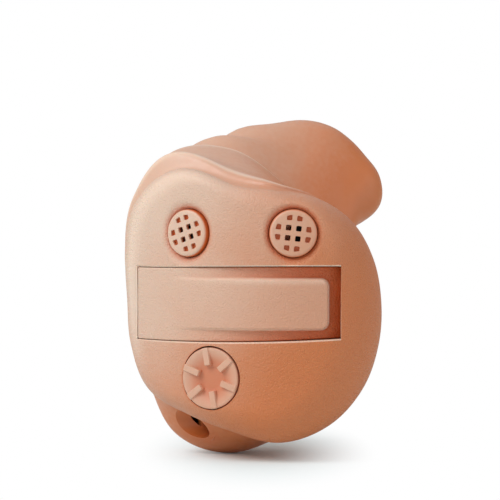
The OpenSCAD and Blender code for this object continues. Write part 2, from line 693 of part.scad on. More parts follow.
// The contacts: a leaf against the can's side, and an arm under the cap
leaf_r1 = cell_far + cell_r + contact_gap;
leaf_r2 = leaf_r1 + contact_t;
foot_l = 1.1;
module about_pin(from_angle, to_angle, r1, r2) {
    translate(pin_at) rotate([0, 0, from_angle]) difference() {
        sector(to_angle - from_angle, r2);
        circle(r = r1, $fn = 2 * round_fn);
    }
}
module sector(angle, r) {
    intersection() {
        circle(r = r, $fn = 2 * round_fn);
        polygon([[0, 0], [2 * r, 0], [2 * r * cos(angle), 2 * r * sin(angle)]]);
    }
}
module positive_foot(gap) {
    translate(pin_at) rotate([0, 0, cradle_angle + 9])
        translate([leaf_r1 - gap, -gap]) square([foot_l + gap, contact_t + 2 * gap]);
}
module positive_contact() {
    color(gold) placed() plan_body(contact_low, contact_low + contact_h) {
        about_pin(cradle_angle - 9, cradle_angle + 10, leaf_r1, leaf_r2);
        positive_foot(0);
    }
}
arm_w = 1.1;
arm_r1 = cell_far - arm_w / 2;
arm_r2 = cell_far + arm_w / 2;
// The arm ends where it leaves the bay's wall
arm_end_angle = 2 * asin((cradle_r + 2 * door_gap + bay_wall) / (2 * cell_far));
module negative_foot(gap) {
    about_pin(cradle_angle + 20, cradle_angle + arm_end_angle + gap, arm_r1 - gap, arm_r2 + gap);
}
module negative_contact() {
    color(gold) placed() {
        plan_body(bay_low, bay_low + contact_t)
            about_pin(cradle_angle - 4, cradle_angle + arm_end_angle, arm_r1, arm_r2);
        plan_body(bay_low, cell_low - contact_gap) disc(cell_at, arm_w / 2 - contact_gap);
    }
}

// A microphone cover: twelve square holes in a round cap
skirt_t = 0.2;
grille_t = 0.22;
grid_reach = 1.05;
front_grid_angle = -6;
rear_grid_angle = 18;
module mic_cover(x, turn) {
    color(grille_tan) placed() on_face(x, mic_up) rotate([0, 0, turn]) difference() {
        union() {
            translate([0, 0, -cover_well])
                cylinder(r = cover_d / 2, h = cover_well + grille_proud - grille_t / 3, $fn = round_fn);
            translate([0, 0, grille_proud - grille_t / 3])
                cylinder(r1 = cover_d / 2, r2 = cover_d / 2 - grille_t / 2, h = grille_t / 3,
                    $fn = round_fn);
        }
        translate([0, 0, -cover_well - overrun])
            cylinder(r = cover_d / 2 - skirt_t, h = cover_well + overrun + grille_proud - grille_t,
                $fn = round_fn);
        grid_holes();
    }
}
module grid_holes() {
    intersection() {
        for (i = [-1.5 : 1 : 1.5])
            for (j = [-1.5 : 1 : 1.5])
                if (abs(i) + abs(j) < 3)
                    translate([i * grid_pitch - grid_hole / 2, j * grid_pitch - grid_hole / 2, -cover_well])
                        cube([grid_hole, grid_hole, 2 * cover_well]);
        translate([0, 0, -cover_well]) cylinder(r = grid_reach, h = 2 * cover_well, $fn = round_fn);
    }
}
module front_mic_cover() {
    mic_cover(front_mic_x, front_grid_angle);
}
module rear_mic_cover() {
    mic_cover(rear_mic_x, rear_grid_angle);
}

// A microphone behind its gasket
gasket_t = 0.2;
stack_gap = 0.02;
gasket_at = floor_end + stack_gap;
mic_at = gasket_at + gasket_t + stack_gap;
pad_t = 0.1;
module gasket(x, port_x) {
    color(rubber_black) placed() on_face(x, mic_up) difference() {
        translate([0, 0, -gasket_at - gasket_t]) cylinder(r = mic_d / 2, h = gasket_t, $fn = round_fn);
        translate([port_x, 0, -gasket_at - 2 * gasket_t])
            cylinder(r = port_r, h = 3 * gasket_t, $fn = round_fn);
    }
}
module microphone(x, port_x) {
    color(steel) placed() on_face(x, mic_up) difference() {
        union() {
            translate([0, 0, -mic_at - mic_l]) cylinder(r = mic_d / 2, h = mic_l, $fn = round_fn);
            for (i = [-1 : 1])
                translate([i * mic_d / 4, 0, -mic_at - mic_l - pad_t])
                    cylinder(r = mic_d / 12, h = 2 * pad_t, $fn = round_fn / 2);
        }
        translate([port_x, 0, -mic_at - gasket_t])
            cylinder(r = port_r / 2, h = gasket_t + overrun, $fn = round_fn);
    }
}
module front_mic() {
    microphone(front_mic_x, front_port_x);
}
module rear_mic() {
    microphone(rear_mic_x, 0);
}
module front_mic_gasket() {
    gasket(front_mic_x, front_port_x);
}
module rear_mic_gasket() {
    gasket(rear_mic_x, 0);
}

// The knob: a rim and six ribs round a lower middle, on a spindle that turns in the control's body
knob_proud = 0.02;
rim_w = 0.13;
dish_h = 0.28;
hub_r = 0.34 * knob_d / 2;
rib_start = 0.42 * knob_d / 2;
rib_angle = 9;
spindle_r = 0.4;
spindle_clear = 0.03;
spindle_in = 0.4 * knob_h;
flange_r = 1.7;
flange_t = 0.2;
pot_gap = 0.05;
pot_at = face_wall + pot_gap;
tab_l = 0.7;
module volume_knob() {
    color(skin_tan) placed() on_face(knob_x, knob_up) difference() {
        union() {
            difference() {
                translate([0, 0, knob_proud - knob_h]) cylinder(r = knob_d / 2, h = knob_h, $fn = round_fn);
                translate([0, 0, knob_proud - dish_h])
                    cylinder(r1 = hub_r, r2 = knob_d / 2 - rim_w, h = dish_h, $fn = round_fn);
            }
            intersection() {
                translate([0, 0, knob_proud - knob_h])
                    cylinder(r = knob_d / 2 - rim_w / 2, h = knob_h, $fn = round_fn);
                for (i = [0 : rib_count - 1])
                    rotate([0, 0, rib_angle + (i + 0.5) * 360 / rib_count])
                        translate([rib_start, -rib_w / 2, knob_proud - dish_h - rim_w])
                            cube([knob_d / 2, rib_w, dish_h + rim_w]);
            }
        }
        translate([0, 0, knob_proud - knob_h - overrun])
            cylinder(r = spindle_r, h = overrun + spindle_in, $fn = round_fn);
    }
}
module knob_spindle() {
    color(steel) placed() on_face(knob_x, knob_up)
        translate([0, 0, -pot_at - pot_h + flange_t])
            cylinder(r = spindle_r, h = pot_at + pot_h - flange_t + knob_proud - knob_h + spindle_in,
                $fn = round_fn);
}
module volume_control() {
    color(chip_black) placed() on_face(knob_x, knob_up) difference() {
        union() {
            translate([0, 0, -pot_at - flange_t]) cylinder(r = flange_r, h = flange_t, $fn = round_fn);
            translate([0, 0, -pot_at - pot_h]) cylinder(r = pot_d / 2, h = pot_h, $fn = round_fn);
        }
        translate([0, 0, -pot_at - pot_h + flange_t - spindle_clear])
            cylinder(r = spindle_r + spindle_clear, h = pot_h + overrun, $fn = round_fn);
    }
}
module volume_terminals() {
    color(gold) placed() on_face(knob_x, knob_up)
        for (i = [-1 : 1])
            translate([i * pot_d / 4 - rib_w / 2, -contact_t / 2, -pot_at - pot_h - tab_l])
                cube([rib_w, contact_t, tab_l]);
}

// The amplifier: a board behind the bay, with its chip and capacitors
board_at = [cell_at[0] + 0.06 * face_reach, cell_at[1] + cradle_r + 3 * door_gap + bay_wall,
    door_mid - 0.04 * face_reach];
module amplifier_board() {
    color(board_green) placed() translate(board_at - [board_w / 2, 0, board_h / 2]) cube([board_w,
        board_t, board_h]);
}
module signal_chip() {
    color(chip_black) placed()
        translate(board_at + [-board_w / 2 + chip_w / 8, board_t, -chip_w / 2])
            cube([chip_w, chip_t, chip_w]);
}
cap_l = 1;
cap_w = 0.5;
module capacitors() {
    color(copper) placed()
        for (i = [-1 : 1])
            translate(board_at + [board_w / 4, board_t, i * 2.4 * cap_w - cap_w / 2])
                cube([cap_l, cap_w, cap_w]);
}

// The telecoil stands beside the board, against the bay
coil_angle = 130;
coil_at = cell_at
    + (cradle_r + 3 * door_gap + bay_wall + coil_d / 2) * [cos(coil_angle), sin(coil_angle)];
core_r = 0.25;
core_end = 0.3;
module telecoil_core() {
    color(chip_black) placed() translate([coil_at[0], coil_at[1], door_mid - coil_l / 2]) {
        cylinder(r = core_r, h = coil_l, $fn = round_fn / 2);
        cylinder(r = coil_d / 2, h = core_end, $fn = round_fn / 2);
        translate([0, 0, coil_l - core_end]) cylinder(r = coil_d / 2, h = core_end, $fn = round_fn / 2);
    }
}
module telecoil_winding() {
    color(copper) placed() translate([coil_at[0], coil_at[1], door_mid - coil_l / 2 + core_end])
        difference() {
        cylinder(r = coil_d / 2 - contact_gap, h = coil_l - 2 * core_end, $fn = round_fn / 2);
        translate([0, 0, -overrun]) cylinder(r = core_r, h = coil_l + 2 * overrun, $fn = round_fn / 2);
    }
}

// The receiver lies in the canal on the outlet's axis, in a rubber boot
receiver_back = 0.116 * body_depth;
receiver_angle = 52;
spout_r = 0.45;
spout_l = 0.6;
boot_t = 0.15;
boot_l = 0.48 * receiver_l;
tube_bore_r = 0.5;
module along_receiver() {
    along_outlet(outlet_at) rotate([0, 0, receiver_angle]) translate([0, 0, -receiver_back -
        receiver_l]) children();
}
module receiver() {
    color(steel) placed() along_receiver() {
        translate([-receiver_w / 2, -receiver_h / 2, 0]) cube([receiver_w, receiver_h, receiver_l]);
        translate([0, 0, receiver_l]) cylinder(r = spout_r, h = spout_l, $fn = round_fn);
    }
}
module receiver_boot() {
    color(rubber_black) placed() along_receiver() difference() {
        translate([-receiver_w / 2 - boot_t, -receiver_h / 2 - boot_t, -boot_t])
            cube([receiver_w + 2 * boot_t, receiver_h + 2 * boot_t, boot_l]);
        translate([-receiver_w / 2, -receiver_h / 2, 0]) cube([receiver_w, receiver_h, boot_l]);
    }
}
guard_l = 0.05 * body_depth;
module receiver_tube() {
    color(clear_tube) placed() along_outlet(outlet_at) translate([0, 0, -receiver_back + tube_gap])
        difference() {
        cylinder(r = outlet_r - tube_gap, h = receiver_back - guard_l - 2 * tube_gap, $fn = round_fn);
        translate([0, 0, -overrun])
            cylinder(r = tube_bore_r, h = receiver_back + 2 * overrun, $fn = round_fn);
    }
}
guard_bore_r = 0.7;
mesh_t = 0.15;
mesh_hole_r = 0.14;
module wax_guard() {
    color(white_nylon) placed() along_outlet(outlet_at) difference() {
        union() {
            translate([0, 0, -guard_l]) cylinder(r = outlet_r - tube_gap, h = guard_l, $fn = round_fn);
            cylinder(r = guard_lip_r, h = guard_lip, $fn = round_fn);
        }
        translate([0, 0, mesh_t - guard_l])
            cylinder(r = guard_bore_r, h = guard_l + overrun, $fn = round_fn);
        for (i = [0 : 5])
            rotate([0, 0, i * 60]) translate([guard_bore_r * 0.6, 0, -guard_l - overrun])
                cylinder(r = mesh_hole_r, h = 2 * overrun + mesh_t, $fn = round_fn / 4);
    }
}

// The vent's tube, from the straight bore to the nose, swept along points chosen by hand
vent_body_shares = [[0.08, 0.415, -0.74], [0.165, 0.52, -0.45], [0.205, 0.585, -0.1], [0.185, 0.62, 0.225]];
vent_canal_shares = [[0.35, -0.17, -0.22], [0.3, -0.165, -0.165], [0.25, -0.19, -0.1], [0.2, -0.19, -0.1],
    [0.16, -0.155, -0.12], [0.14, -0.13, -0.14]];
tube_side_count = 10;
function sweep_ring(route, i, r) =
    let (n = len(route),
         along = unit(route[min(i + 1, n - 1)] - route[max(i - 1, 0)]),
         side = unit(cross(along, [0, 0, 1])),
         up = cross(side, along))
    [for (a = [0 : tube_side_count - 1])
        route[i] + r * (cos(a * 360 / tube_side_count) * side + sin(a * 360 / tube_side_count) * up)];
function smooth_route(points, steps) =
    let (n = len(points))
    [for (i = [0 : n - 2]) for (s = [0 : steps - 1])
        spline(points[max(i - 1, 0)], points[i], points[i + 1], points[min(i + 2, n - 1)], s / steps),
     points[n - 1]];
vent_route = smooth_route(concat(
    [for (d = [vent_bore_l + tube_gap, vent_end - tube_gap, vent_end + vent_socket_l])
        vent_mouth + d * vent_way],
    [for (s = vent_body_shares) sized(s)],
    [for (s = vent_canal_shares) by_outlet(s)]), 3);
module vent_tube() {
    color(clear_tube) placed() {
        n = tube_side_count;
        m = len(vent_route);
        outer = [for (i = [0 : m - 1]) sweep_ring(vent_route, i, vent_tube_r)];
        inner = [for (i = [m - 1 : -1 : 0]) sweep_ring(vent_route, i, vent_tube_r - tube_wall)];
        points = flat(concat(outer, inner));
        polyhedron(points = points, convexity = 8, faces =
            [for (r = [0 : 2 * m - 1]) each strip(r * n, ((r + 1) % (2 * m)) * n, n)]);
    }
}

shell();
faceplate();
battery_bay();
battery_door();
hinge_pin();
battery_can();
battery_seal();
battery_cap();
positive_contact();
negative_contact();
front_mic_cover();
rear_mic_cover();
front_mic();
rear_mic();
front_mic_gasket();
rear_mic_gasket();
volume_knob();
knob_spindle();
volume_control();
volume_terminals();
amplifier_board();
signal_chip();
capacitors();
telecoil_core();
telecoil_winding();
receiver();
receiver_boot();
receiver_tube();
wax_guard();
vent_tube();
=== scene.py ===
"""Looks of an in-the-canal hearing aid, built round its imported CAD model.

The CAD model gives the sizes. This script makes the moulded skin again with finer rings, puts soft edges
on the door, the microphone covers and the knob, and gives every piece its material.
Lengths are written in millimetres, in the axes of the CAD source: X across the face, +Y into the ear.
"""

import json
import math

import bmesh
import bpy
import numpy as np
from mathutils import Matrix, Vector

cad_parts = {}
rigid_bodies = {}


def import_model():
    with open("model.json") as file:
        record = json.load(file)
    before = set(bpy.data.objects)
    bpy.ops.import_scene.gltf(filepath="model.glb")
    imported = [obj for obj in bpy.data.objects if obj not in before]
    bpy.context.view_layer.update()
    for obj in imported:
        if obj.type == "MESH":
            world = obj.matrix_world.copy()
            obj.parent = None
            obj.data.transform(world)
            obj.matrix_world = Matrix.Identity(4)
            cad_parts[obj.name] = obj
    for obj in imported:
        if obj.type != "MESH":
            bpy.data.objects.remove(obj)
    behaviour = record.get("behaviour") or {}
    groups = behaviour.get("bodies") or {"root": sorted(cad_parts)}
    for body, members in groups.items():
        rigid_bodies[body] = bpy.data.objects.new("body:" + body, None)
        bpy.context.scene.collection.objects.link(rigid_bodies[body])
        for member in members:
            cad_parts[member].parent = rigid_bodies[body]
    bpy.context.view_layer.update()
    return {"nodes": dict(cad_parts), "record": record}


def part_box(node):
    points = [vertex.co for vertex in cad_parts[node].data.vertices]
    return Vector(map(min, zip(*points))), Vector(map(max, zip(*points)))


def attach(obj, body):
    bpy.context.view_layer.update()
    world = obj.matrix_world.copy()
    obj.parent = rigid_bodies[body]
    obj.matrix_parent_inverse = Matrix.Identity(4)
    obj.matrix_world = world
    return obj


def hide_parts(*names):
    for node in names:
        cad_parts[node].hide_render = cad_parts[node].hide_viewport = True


for leftover in list(bpy.data.objects):
    bpy.data.objects.remove(leftover)
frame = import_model()
scene = bpy.context.scene
MM = 0.001

# Sizes shared with the CAD source
FACE_REACH, BODY_DEPTH, BOW_R = 8.0, 20.0, 11.0
SHELL_WALL, FACE_WALL, LIP_CLEAR = 0.8, 0.9, 0.15
VENT_R, VENT_BORE_L, VENT_SOCKET_L, VENT_TUBE_R, TUBE_WALL = 0.68, 2.2, 0.9, 0.45, 0.12
OUTLET_R, TUBE_GAP = 1.0, 0.02
CELL_R, CELL_H, DOOR_H, DOOR_PAST, DOOR_WALL, DOOR_DEPTH = 3.95, 3.6, 4.2, 2.6, 0.8, 2.3
RECESS_DEPTH, PIN_R, PIN_DEPTH, KNUCKLE_R, DOOR_GAP = 0.85, 0.35, 0.9, 1.13, 0.06
COVER_R, GRID_PITCH, GRID_HOLE, MIC_R = 1.375, 0.585, 0.3, 1.28
KNOB_R, KNOB_H, RIB_COUNT, RIB_W = 1.78, 0.72, 6, 0.38

# How far a cutter runs past what it cuts, and the least height of the rim's round edge
OVERRUN, EDGE_TURN = 0.5, 0.25

# The skin's tables, with a value every 20 degrees from +X towards +Z. A depth is a share of BODY_DEPTH, SHARP
# and SWELL are plain shares, and the others are shares of FACE_REACH. RIM_DEPTH, ROLL, SHARP, GROOVE,
# RIDGE_DEPTH, FOOT, WAIST and CANAL differ a little from the CAD source's, to match the photo's shading.
RIM = [0.925, 0.919, 0.9125, 0.87, 0.8125, 0.85, 1.1125, 1.1375, 1.02,
       0.956, 0.981, 1.025, 0.9625, 0.9625, 1.044, 1.056, 1.019, 0.9625]
RIM_DEPTH = [0.2, 0.195, 0.16, 0.12, 0.045, 0.065, 0.17, 0.235, 0.29,
             0.35, 0.3, 0.25, 0.17, 0.135, 0.13, 0.15, 0.175, 0.195]
ROLL = [0.425, 0.375, 0.21, 0.125, 0.16, 0.16, 0.15, 0.25, 0.22,
        0.18, 0.15, 0.125, 0.15, 0.2, 0.26, 0.34, 0.39, 0.41]
SHARP = [1, 1, 1, 0.9, 0.1, 0.2, 0.9, 0.5, 0.2, 0.2, 0.8, 1, 1, 1, 1, 1, 1, 1]
GROOVE = [0, 0, 0, 0, 0, 0.0125, 0.06, 0.02, 0.006,
          0.006, 0.006, 0.0375, 0.075, 0.0625, 0.025, 0.006, 0, 0]
SWELL = [0.4, 0.4, 0.4, 0.4, 0.35, 0.3, 0.28, 0.3, 0.4,
         0.5, 0.5, 0.55, 0.65, 0.65, 0.6, 0.5, 0.4, 0.4]
RIDGE = [0.8875, 0.875, 0.8625, 0.875, 0.871, 0.9625, 1.25, 1.1875, 1.0375,
         0.95, 0.969, 1.025, 1.175, 1.175, 1.056, 1.0125, 0.969, 0.925]
RIDGE_DEPTH = [0.33, 0.31, 0.27, 0.2, 0.13, 0.19, 0.3, 0.36, 0.38,
               0.4, 0.385, 0.37, 0.36, 0.36, 0.36, 0.355, 0.35, 0.34]
VALLEY = [0.0125, 0.0125, 0.0125, 0.0125, 0.03, 0.04, 0.04, 0.025, 0.0125,
          0.0125, 0.0125, 0.0125, 0.0125, 0.0125, 0.0125, 0.0125, 0.0125, 0.0125]
BACK_RIDGE = [0.825, 0.7875, 0.75, 0.775, 0.93, 1.156, 1.275, 1.15, 0.994,
              0.9, 0.9125, 0.975, 1.1, 1.125, 1.05, 0.9625, 0.9, 0.8625]
CREASE = [0.7625, 0.72, 0.675, 0.72, 0.9, 1.125, 1.2375, 1.1125, 0.95,
          0.8625, 0.875, 0.925, 1.0375, 1.0625, 0.9875, 0.9, 0.8375, 0.8]
CREASE_DEPTH = [0.53, 0.52, 0.51, 0.505, 0.505, 0.51, 0.52, 0.53, 0.535,
                0.54, 0.54, 0.54, 0.54, 0.54, 0.54, 0.54, 0.54, 0.535]
FOOT = [0.6875, 0.6625, 0.6625, 0.744, 0.944, 1.265, 1.2, 0.95, 0.775,
        0.7125, 0.7, 0.7125, 0.775, 0.8, 0.75, 0.7, 0.6875, 0.6875]
FOOT_DEPTH = [0.575, 0.555, 0.54, 0.54, 0.54, 0.55, 0.57, 0.595, 0.615,
              0.635, 0.65, 0.655, 0.655, 0.655, 0.65, 0.635, 0.615, 0.595]
WAIST = [0.4625, 0.375, 0.33, 0.325, 0.356, 0.4875, 0.672, 0.775, 0.625,
         0.525, 0.4875, 0.475, 0.475, 0.475, 0.475, 0.475, 0.475, 0.4875]
WAIST_DEPTH = [0.64, 0.63, 0.62, 0.615, 0.615, 0.62, 0.625, 0.635, 0.655,
               0.68, 0.705, 0.725, 0.735, 0.735, 0.725, 0.705, 0.68, 0.655]
CANAL = [0.594, 0.5, 0.456, 0.444, 0.444, 0.4625, 0.5, 0.575, 0.575,
         0.5, 0.45, 0.4375, 0.425, 0.425, 0.4375, 0.481, 0.556, 0.631]
CANAL_DEPTH = [0.695, 0.695, 0.69, 0.685, 0.685, 0.685, 0.69, 0.7, 0.715,
               0.735, 0.76, 0.785, 0.8, 0.8, 0.79, 0.76, 0.73, 0.705]

# The rings that have no table, as shares in the same way
SEAM, BACK_RIDGE_DEPTH, TAPER_END = 0.025, 0.475, 0.93
TAPER_REACH, NECK_REACH, NOSE_REACH = 0.1625, 0.2, 0.225
TAPER_CANAL, NECK_CANAL, NOSE_CANAL = 0.6, 0.35, 0.1
SWELL_SEAM, SWELL_RIDGE = 0.45, 0.55
WAIST_MIDDLE, CANAL_MIDDLE, TAPER_MIDDLE = (0.3, 0, 0.694), (0.3875, 0, 0.906), (0.42, 0, 0.906)
NECK_MIDDLE, NOSE_MIDDLE, TIP = (0.4625, 0.91, 0.9125), (0.5, 0.972, 0.918), (0.5125, 1, 0.919)
WAIST_RING, UNDER_TURN, SWELL_WALL = 7, 75, 1.05
INNER_BACK = [0, 0, 0, 0, 0.1, 0.6, 1, 1, 0.8, 0.5, 0.6]
BACK_THIN = 0.6

# Places that follow from the sizes
BOW_X = 0.275 * FACE_REACH
BOW_MIDDLE = np.array([BOW_X, BOW_R])
DOOR_MID = -0.0155 * FACE_REACH
EDGE_LOW, EDGE_HIGH = DOOR_MID - 0.511 * DOOR_H, DOOR_MID + 0.511 * DOOR_H
EDGE_LOW_R, EDGE_HIGH_R = 167.0, 345.0
EDGE_LOW_X, EDGE_HIGH_X = -0.49 * FACE_REACH, 0.375 * FACE_REACH
MIC_UP = 0.495 * FACE_REACH
FRONT_MIC_X, REAR_MIC_X = 0.273 * FACE_REACH, -0.4975 * FACE_REACH
KNOB_X, KNOB_UP = -0.329 * FACE_REACH, -0.549 * FACE_REACH


def sized(share):
    """A place given as shares of the reach across, the depth and the reach up."""
    return np.array(share) * [FACE_REACH, BODY_DEPTH, FACE_REACH]


def under_bow(turn, depth):
    """A plan point at that depth under the bow, turned that far round its middle."""
    t = math.radians(turn)
    return np.array([BOW_X + (BOW_R - depth) * math.sin(t), BOW_R - (BOW_R - depth) * math.cos(t)])


PIN_TURN, CELL_TURN, CELL_GAP = -52, -20, 0.15
PIN = under_bow(PIN_TURN, PIN_DEPTH)
CELL = under_bow(CELL_TURN, DOOR_WALL + CELL_GAP + CELL_R)
DOOR_CORNER = under_bow(math.degrees(math.asin(DOOR_PAST / BOW_R)), 0)
DOOR_REACH = float(np.linalg.norm(DOOR_CORNER - PIN))

pin_low, pin_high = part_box("hinge_pin")
can_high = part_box("battery_can")[1]
ORIGIN = np.array([
    PIN[0] - (pin_low.x + pin_high.x) / 2 / MM,
    PIN[1] - (pin_low.y + pin_high.y) / 2 / MM,
    DOOR_MID + CELL_H / 2 - can_high.z / MM])


def placed(points):
    """Points of the CAD source's axes, in millimetres, as the frame's metres."""
    return (points - ORIGIN) * MM


def columns(*parts):
    """Points from their coordinates. A plain number is for every point."""
    return np.stack(np.broadcast_arrays(*parts), axis=-1)


# The skin as functions
def spline(a, b, c, d, t):
    """The smooth curve through four values, from the second, at t = 0, to the third, at t = 1."""
    bend, twist = 2 * a - 5 * b + 4 * c - d, 3 * b - a - 3 * c + d
    return 0.5 * (2 * b + (c - a) * t + bend * t * t + twist * t ** 3)


def around(table, angles):
    """A table's smooth value at each angle, in degrees."""
    table = np.asarray(table, float)
    place = np.asarray(angles, float) * len(table) / 360
    low = np.floor(place).astype(int)
    near = [table[(low + k) % len(table)] for k in (-1, 0, 1, 2)]
    return spline(*near, place - low)


def reach(table, angles):
    """A table's value at each angle as a length out from the middle."""
    return FACE_REACH * around(table, angles)


def depth(table, angles):
    """A table's value at each angle as a length into the ear."""
    return BODY_DEPTH * around(table, angles)


def ring(middle, reaches, depths, angles):
    """Points round a middle, at each angle."""
    a = np.radians(angles)
    return middle + columns(reaches * np.cos(a), depths, reaches * np.sin(a))


def bow_depth(x):
    """How far the face's bow lies behind its foremost line at x."""
    return BOW_R - np.sqrt(BOW_R ** 2 - (x - BOW_X) ** 2)


def face_place(x, up):
    """A place of the face, with the ways across the face and out of it there."""
    t = math.asin((x - BOW_X) / BOW_R)
    across, out = np.array([math.cos(t), math.sin(t), 0]), np.array([math.sin(t), -math.cos(t), 0])
    return np.array([x, bow_depth(x), up]), across, out


def from_face(points, x, up):
    """How far points lie from the line out of a place of the face, and how far out along it."""
    middle, across, out = face_place(x, up)
    local = points - middle
    return np.hypot(local @ across, local[:, 2]), local @ out


def dome_row(angles, flat_t, roll_t, back=False):
    """A ring of the faceplate: flat_t runs over the flat of the face, then roll_t over its roll."""
    rim, roll = reach(RIM, angles), reach(ROLL, angles)
    out = flat_t * (rim - roll) + roll_t * roll
    a = np.radians(angles)
    drop = depth(RIM_DEPTH, angles) - bow_depth(rim * np.cos(a))
    sharp = np.clip(around(SHARP, angles), 0, 1)
    turn = np.maximum(sharp * drop, EDGE_TURN)
    fall = turn * (1 - math.sqrt(1 - roll_t ** 2)) + (drop - turn) * roll_t ** 3
    inset = (SHELL_WALL + reach(GROOVE, angles) + LIP_CLEAR) * out / rim if back else 0 * out
    y = bow_depth(out * np.cos(a)) + fall
    if back:
        y = y + FACE_WALL * (1 - BACK_THIN * roll_t ** 2)
    return columns((out - inset) * np.cos(a), y, (out - inset) * np.sin(a))


def shell_ring(k, angles):
    """Ring k of the shell, from the seam behind the rim to the nose of the canal."""
    seam_r = reach(RIM, angles) - reach(GROOVE, angles)
    seam_d = depth(RIM_DEPTH, angles) + SEAM * BODY_DEPTH
    ridge, ridge_d = reach(RIDGE, angles), depth(RIDGE_DEPTH, angles)
    back, back_d = reach(BACK_RIDGE, angles), BACK_RIDGE_DEPTH * BODY_DEPTH
    canal, canal_d = reach(CANAL, angles), depth(CANAL_DEPTH, angles)
    swell = around(SWELL, angles)
    middle = np.zeros(3)
    rings = [
        (middle, seam_r, seam_d),
        (middle, (1 - swell) * seam_r + swell * ridge, SWELL_SEAM * seam_d + SWELL_RIDGE * ridge_d),
        (middle, ridge, ridge_d),
        (middle, (ridge + back) / 2 - reach(VALLEY, angles), (ridge_d + back_d) / 2),
        (middle, back, back_d),
        (middle, reach(CREASE, angles), depth(CREASE_DEPTH, angles)),
        (middle, reach(FOOT, angles), depth(FOOT_DEPTH, angles)),
        (sized(WAIST_MIDDLE), reach(WAIST, angles), depth(WAIST_DEPTH, angles)),
        (sized(CANAL_MIDDLE), canal, canal_d),
        (sized(TAPER_MIDDLE), TAPER_CANAL * canal + TAPER_REACH * FACE_REACH,
         (canal_d + TAPER_END * BODY_DEPTH) / 2),
        (sized(NECK_MIDDLE), NECK_CANAL * canal + NECK_REACH * FACE_REACH, 0),
        (sized(NOSE_MIDDLE), NOSE_CANAL * canal + NOSE_REACH * FACE_REACH, 0),
        (sized(TIP), 0 * canal, 0)]
    return ring(*rings[k], angles)


def inner_ring(k, angles):
    """The shell's inner side behind ring k."""
    p = shell_ring(k, angles)
    middle = np.zeros(3) if k < WAIST_RING else sized(WAIST_MIDDLE if k == WAIST_RING else CANAL_MIDDLE)
    out = (p - middle) * [1, 0, 1]
    out /= np.linalg.norm(out, axis=1, keepdims=True)
    under = 0.5 - 0.5 * np.cos(np.radians(angles - UNDER_TURN))
    wall = SHELL_WALL * (SWELL_WALL if k == 1 else 1)
    return p - out * wall - columns(0, SHELL_WALL * INNER_BACK[k] * under, 0)


def blend_rows(rows, steps):
    """Rows with smooth rows between them, as many as steps says after each row."""
    last = len(rows) - 1
    made = []
    for i in range(last):
        near = [rows[max(i - 1, 0)], rows[i], rows[i + 1], rows[min(i + 2, last)]]
        made += [spline(*near, s / steps[i]) for s in range(steps[i])]
    return made + [rows[last]]


def eased(rows, first, rounds):
    """Rows whose course is softened behind the first one named. The ends stay."""
    rows = np.array(rows)
    for _ in range(rounds):
        rows[first + 1:-1] = (rows[first:-2] + 2 * rows[first + 1:-1] + rows[first + 2:]) / 4
    return rows


# Meshes
def new_object(name, data):
    """An object in the scene."""
    made = bpy.data.objects.new(name, data)
    scene.collection.objects.link(made)
    return made


def piece(name, points, faces, body, slot=None, node=None):
    """A mesh in the frame from points in millimetres, riding on a CAD body."""
    mesh = bpy.data.meshes.new(name)
    mesh.from_pydata([tuple(p) for p in placed(points)], [], faces)
    mesh.validate()
    made = new_object(name, mesh)
    tidy_normals(made)
    if body:
        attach(made, body)
    if node:
        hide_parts(node)
    return made


def tidy_normals(made):
    """Turns all faces of a closed mesh outwards."""
    bm = bmesh.new()
    bm.from_mesh(made.data)
    bmesh.ops.recalc_face_normals(bm, faces=bm.faces)
    bm.to_mesh(made.data)
    bm.free()


def tube_faces(row_count, n, start=0, closed=False):
    """The quads between rows of n points each. closed joins the last row to the first."""
    faces = []
    for r in range(row_count if closed else row_count - 1):
        a, b = start + r * n, start + (r + 1) % row_count * n
        faces += [(a + j, a + (j + 1) % n, b + (j + 1) % n, b + j) for j in range(n)]
    return faces


def rows_solid(rows):
    """Points and faces of a solid from rows of points, with a face across its first and last row."""
    n = len(rows[0])
    faces = tube_faces(len(rows), n)
    faces += [tuple(range(n))[::-1], tuple(range((len(rows) - 1) * n, len(rows) * n))]
    return np.concatenate(rows), faces


def poled_solid(first, rows, last):
    """Points and faces of a solid from rows of points that closes to a point at each end."""
    n, end = len(rows[0]), len(rows) * len(rows[0]) + 1
    faces = tube_faces(len(rows), n, 1)
    faces += [(0, 1 + (j + 1) % n, 1 + j) for j in range(n)]
    faces += [(end, end - n + j, end - n + (j + 1) % n) for j in range(n)]
    return np.concatenate([[first], *rows, [last]]), faces


def combine(target, tool, operation):
    """Adds a solid to the target or cuts it away, and removes the tool."""
    change = target.modifiers.new(operation, "BOOLEAN")
    change.object, change.operation, change.solver = tool, operation, "EXACT"
    graph = bpy.context.evaluated_depsgraph_get()
    mesh = bpy.data.meshes.new_from_object(target.evaluated_get(graph))
    target.modifiers.clear()
    old, target.data = target.data, mesh
    bpy.data.meshes.remove(old)
    bpy.data.objects.remove(tool)


def cut(target, points, faces):
    """Cuts a solid away, given as points and faces."""
    combine(target, piece("cutter", points, faces, None), "DIFFERENCE")


def add(target, points, faces):
    """Adds a solid, given as points and faces."""
    combine(target, piece("adder", points, faces, None), "UNION")


def finish_edges(made, angle=32):
    """Smooth shading, with a sharp edge wherever faces meet at more than the angle."""
    made.data.shade_smooth()
    made.data.set_sharp_from_angle(angle=math.radians(angle))


def turned(profile, place, sides=128):
    """A round solid from (radius, height) pairs, where a height may change on the way round."""
    a = np.linspace(0, 2 * math.pi, sides, endpoint=False)
    rows = [place(columns(r * np.cos(a), r * np.sin(a), h)) for r, h in profile]
    ends = [place(np.array([0, 0, np.mean(profile[i][1])])) for i in (0, -1)]
    return poled_solid(ends[0], rows, ends[1])


def prism(outline, low, high):
    """A plan outline in X and Y, extruded from one height to another."""
    return rows_solid([columns(*outline.T, h) for h in (low, high)])


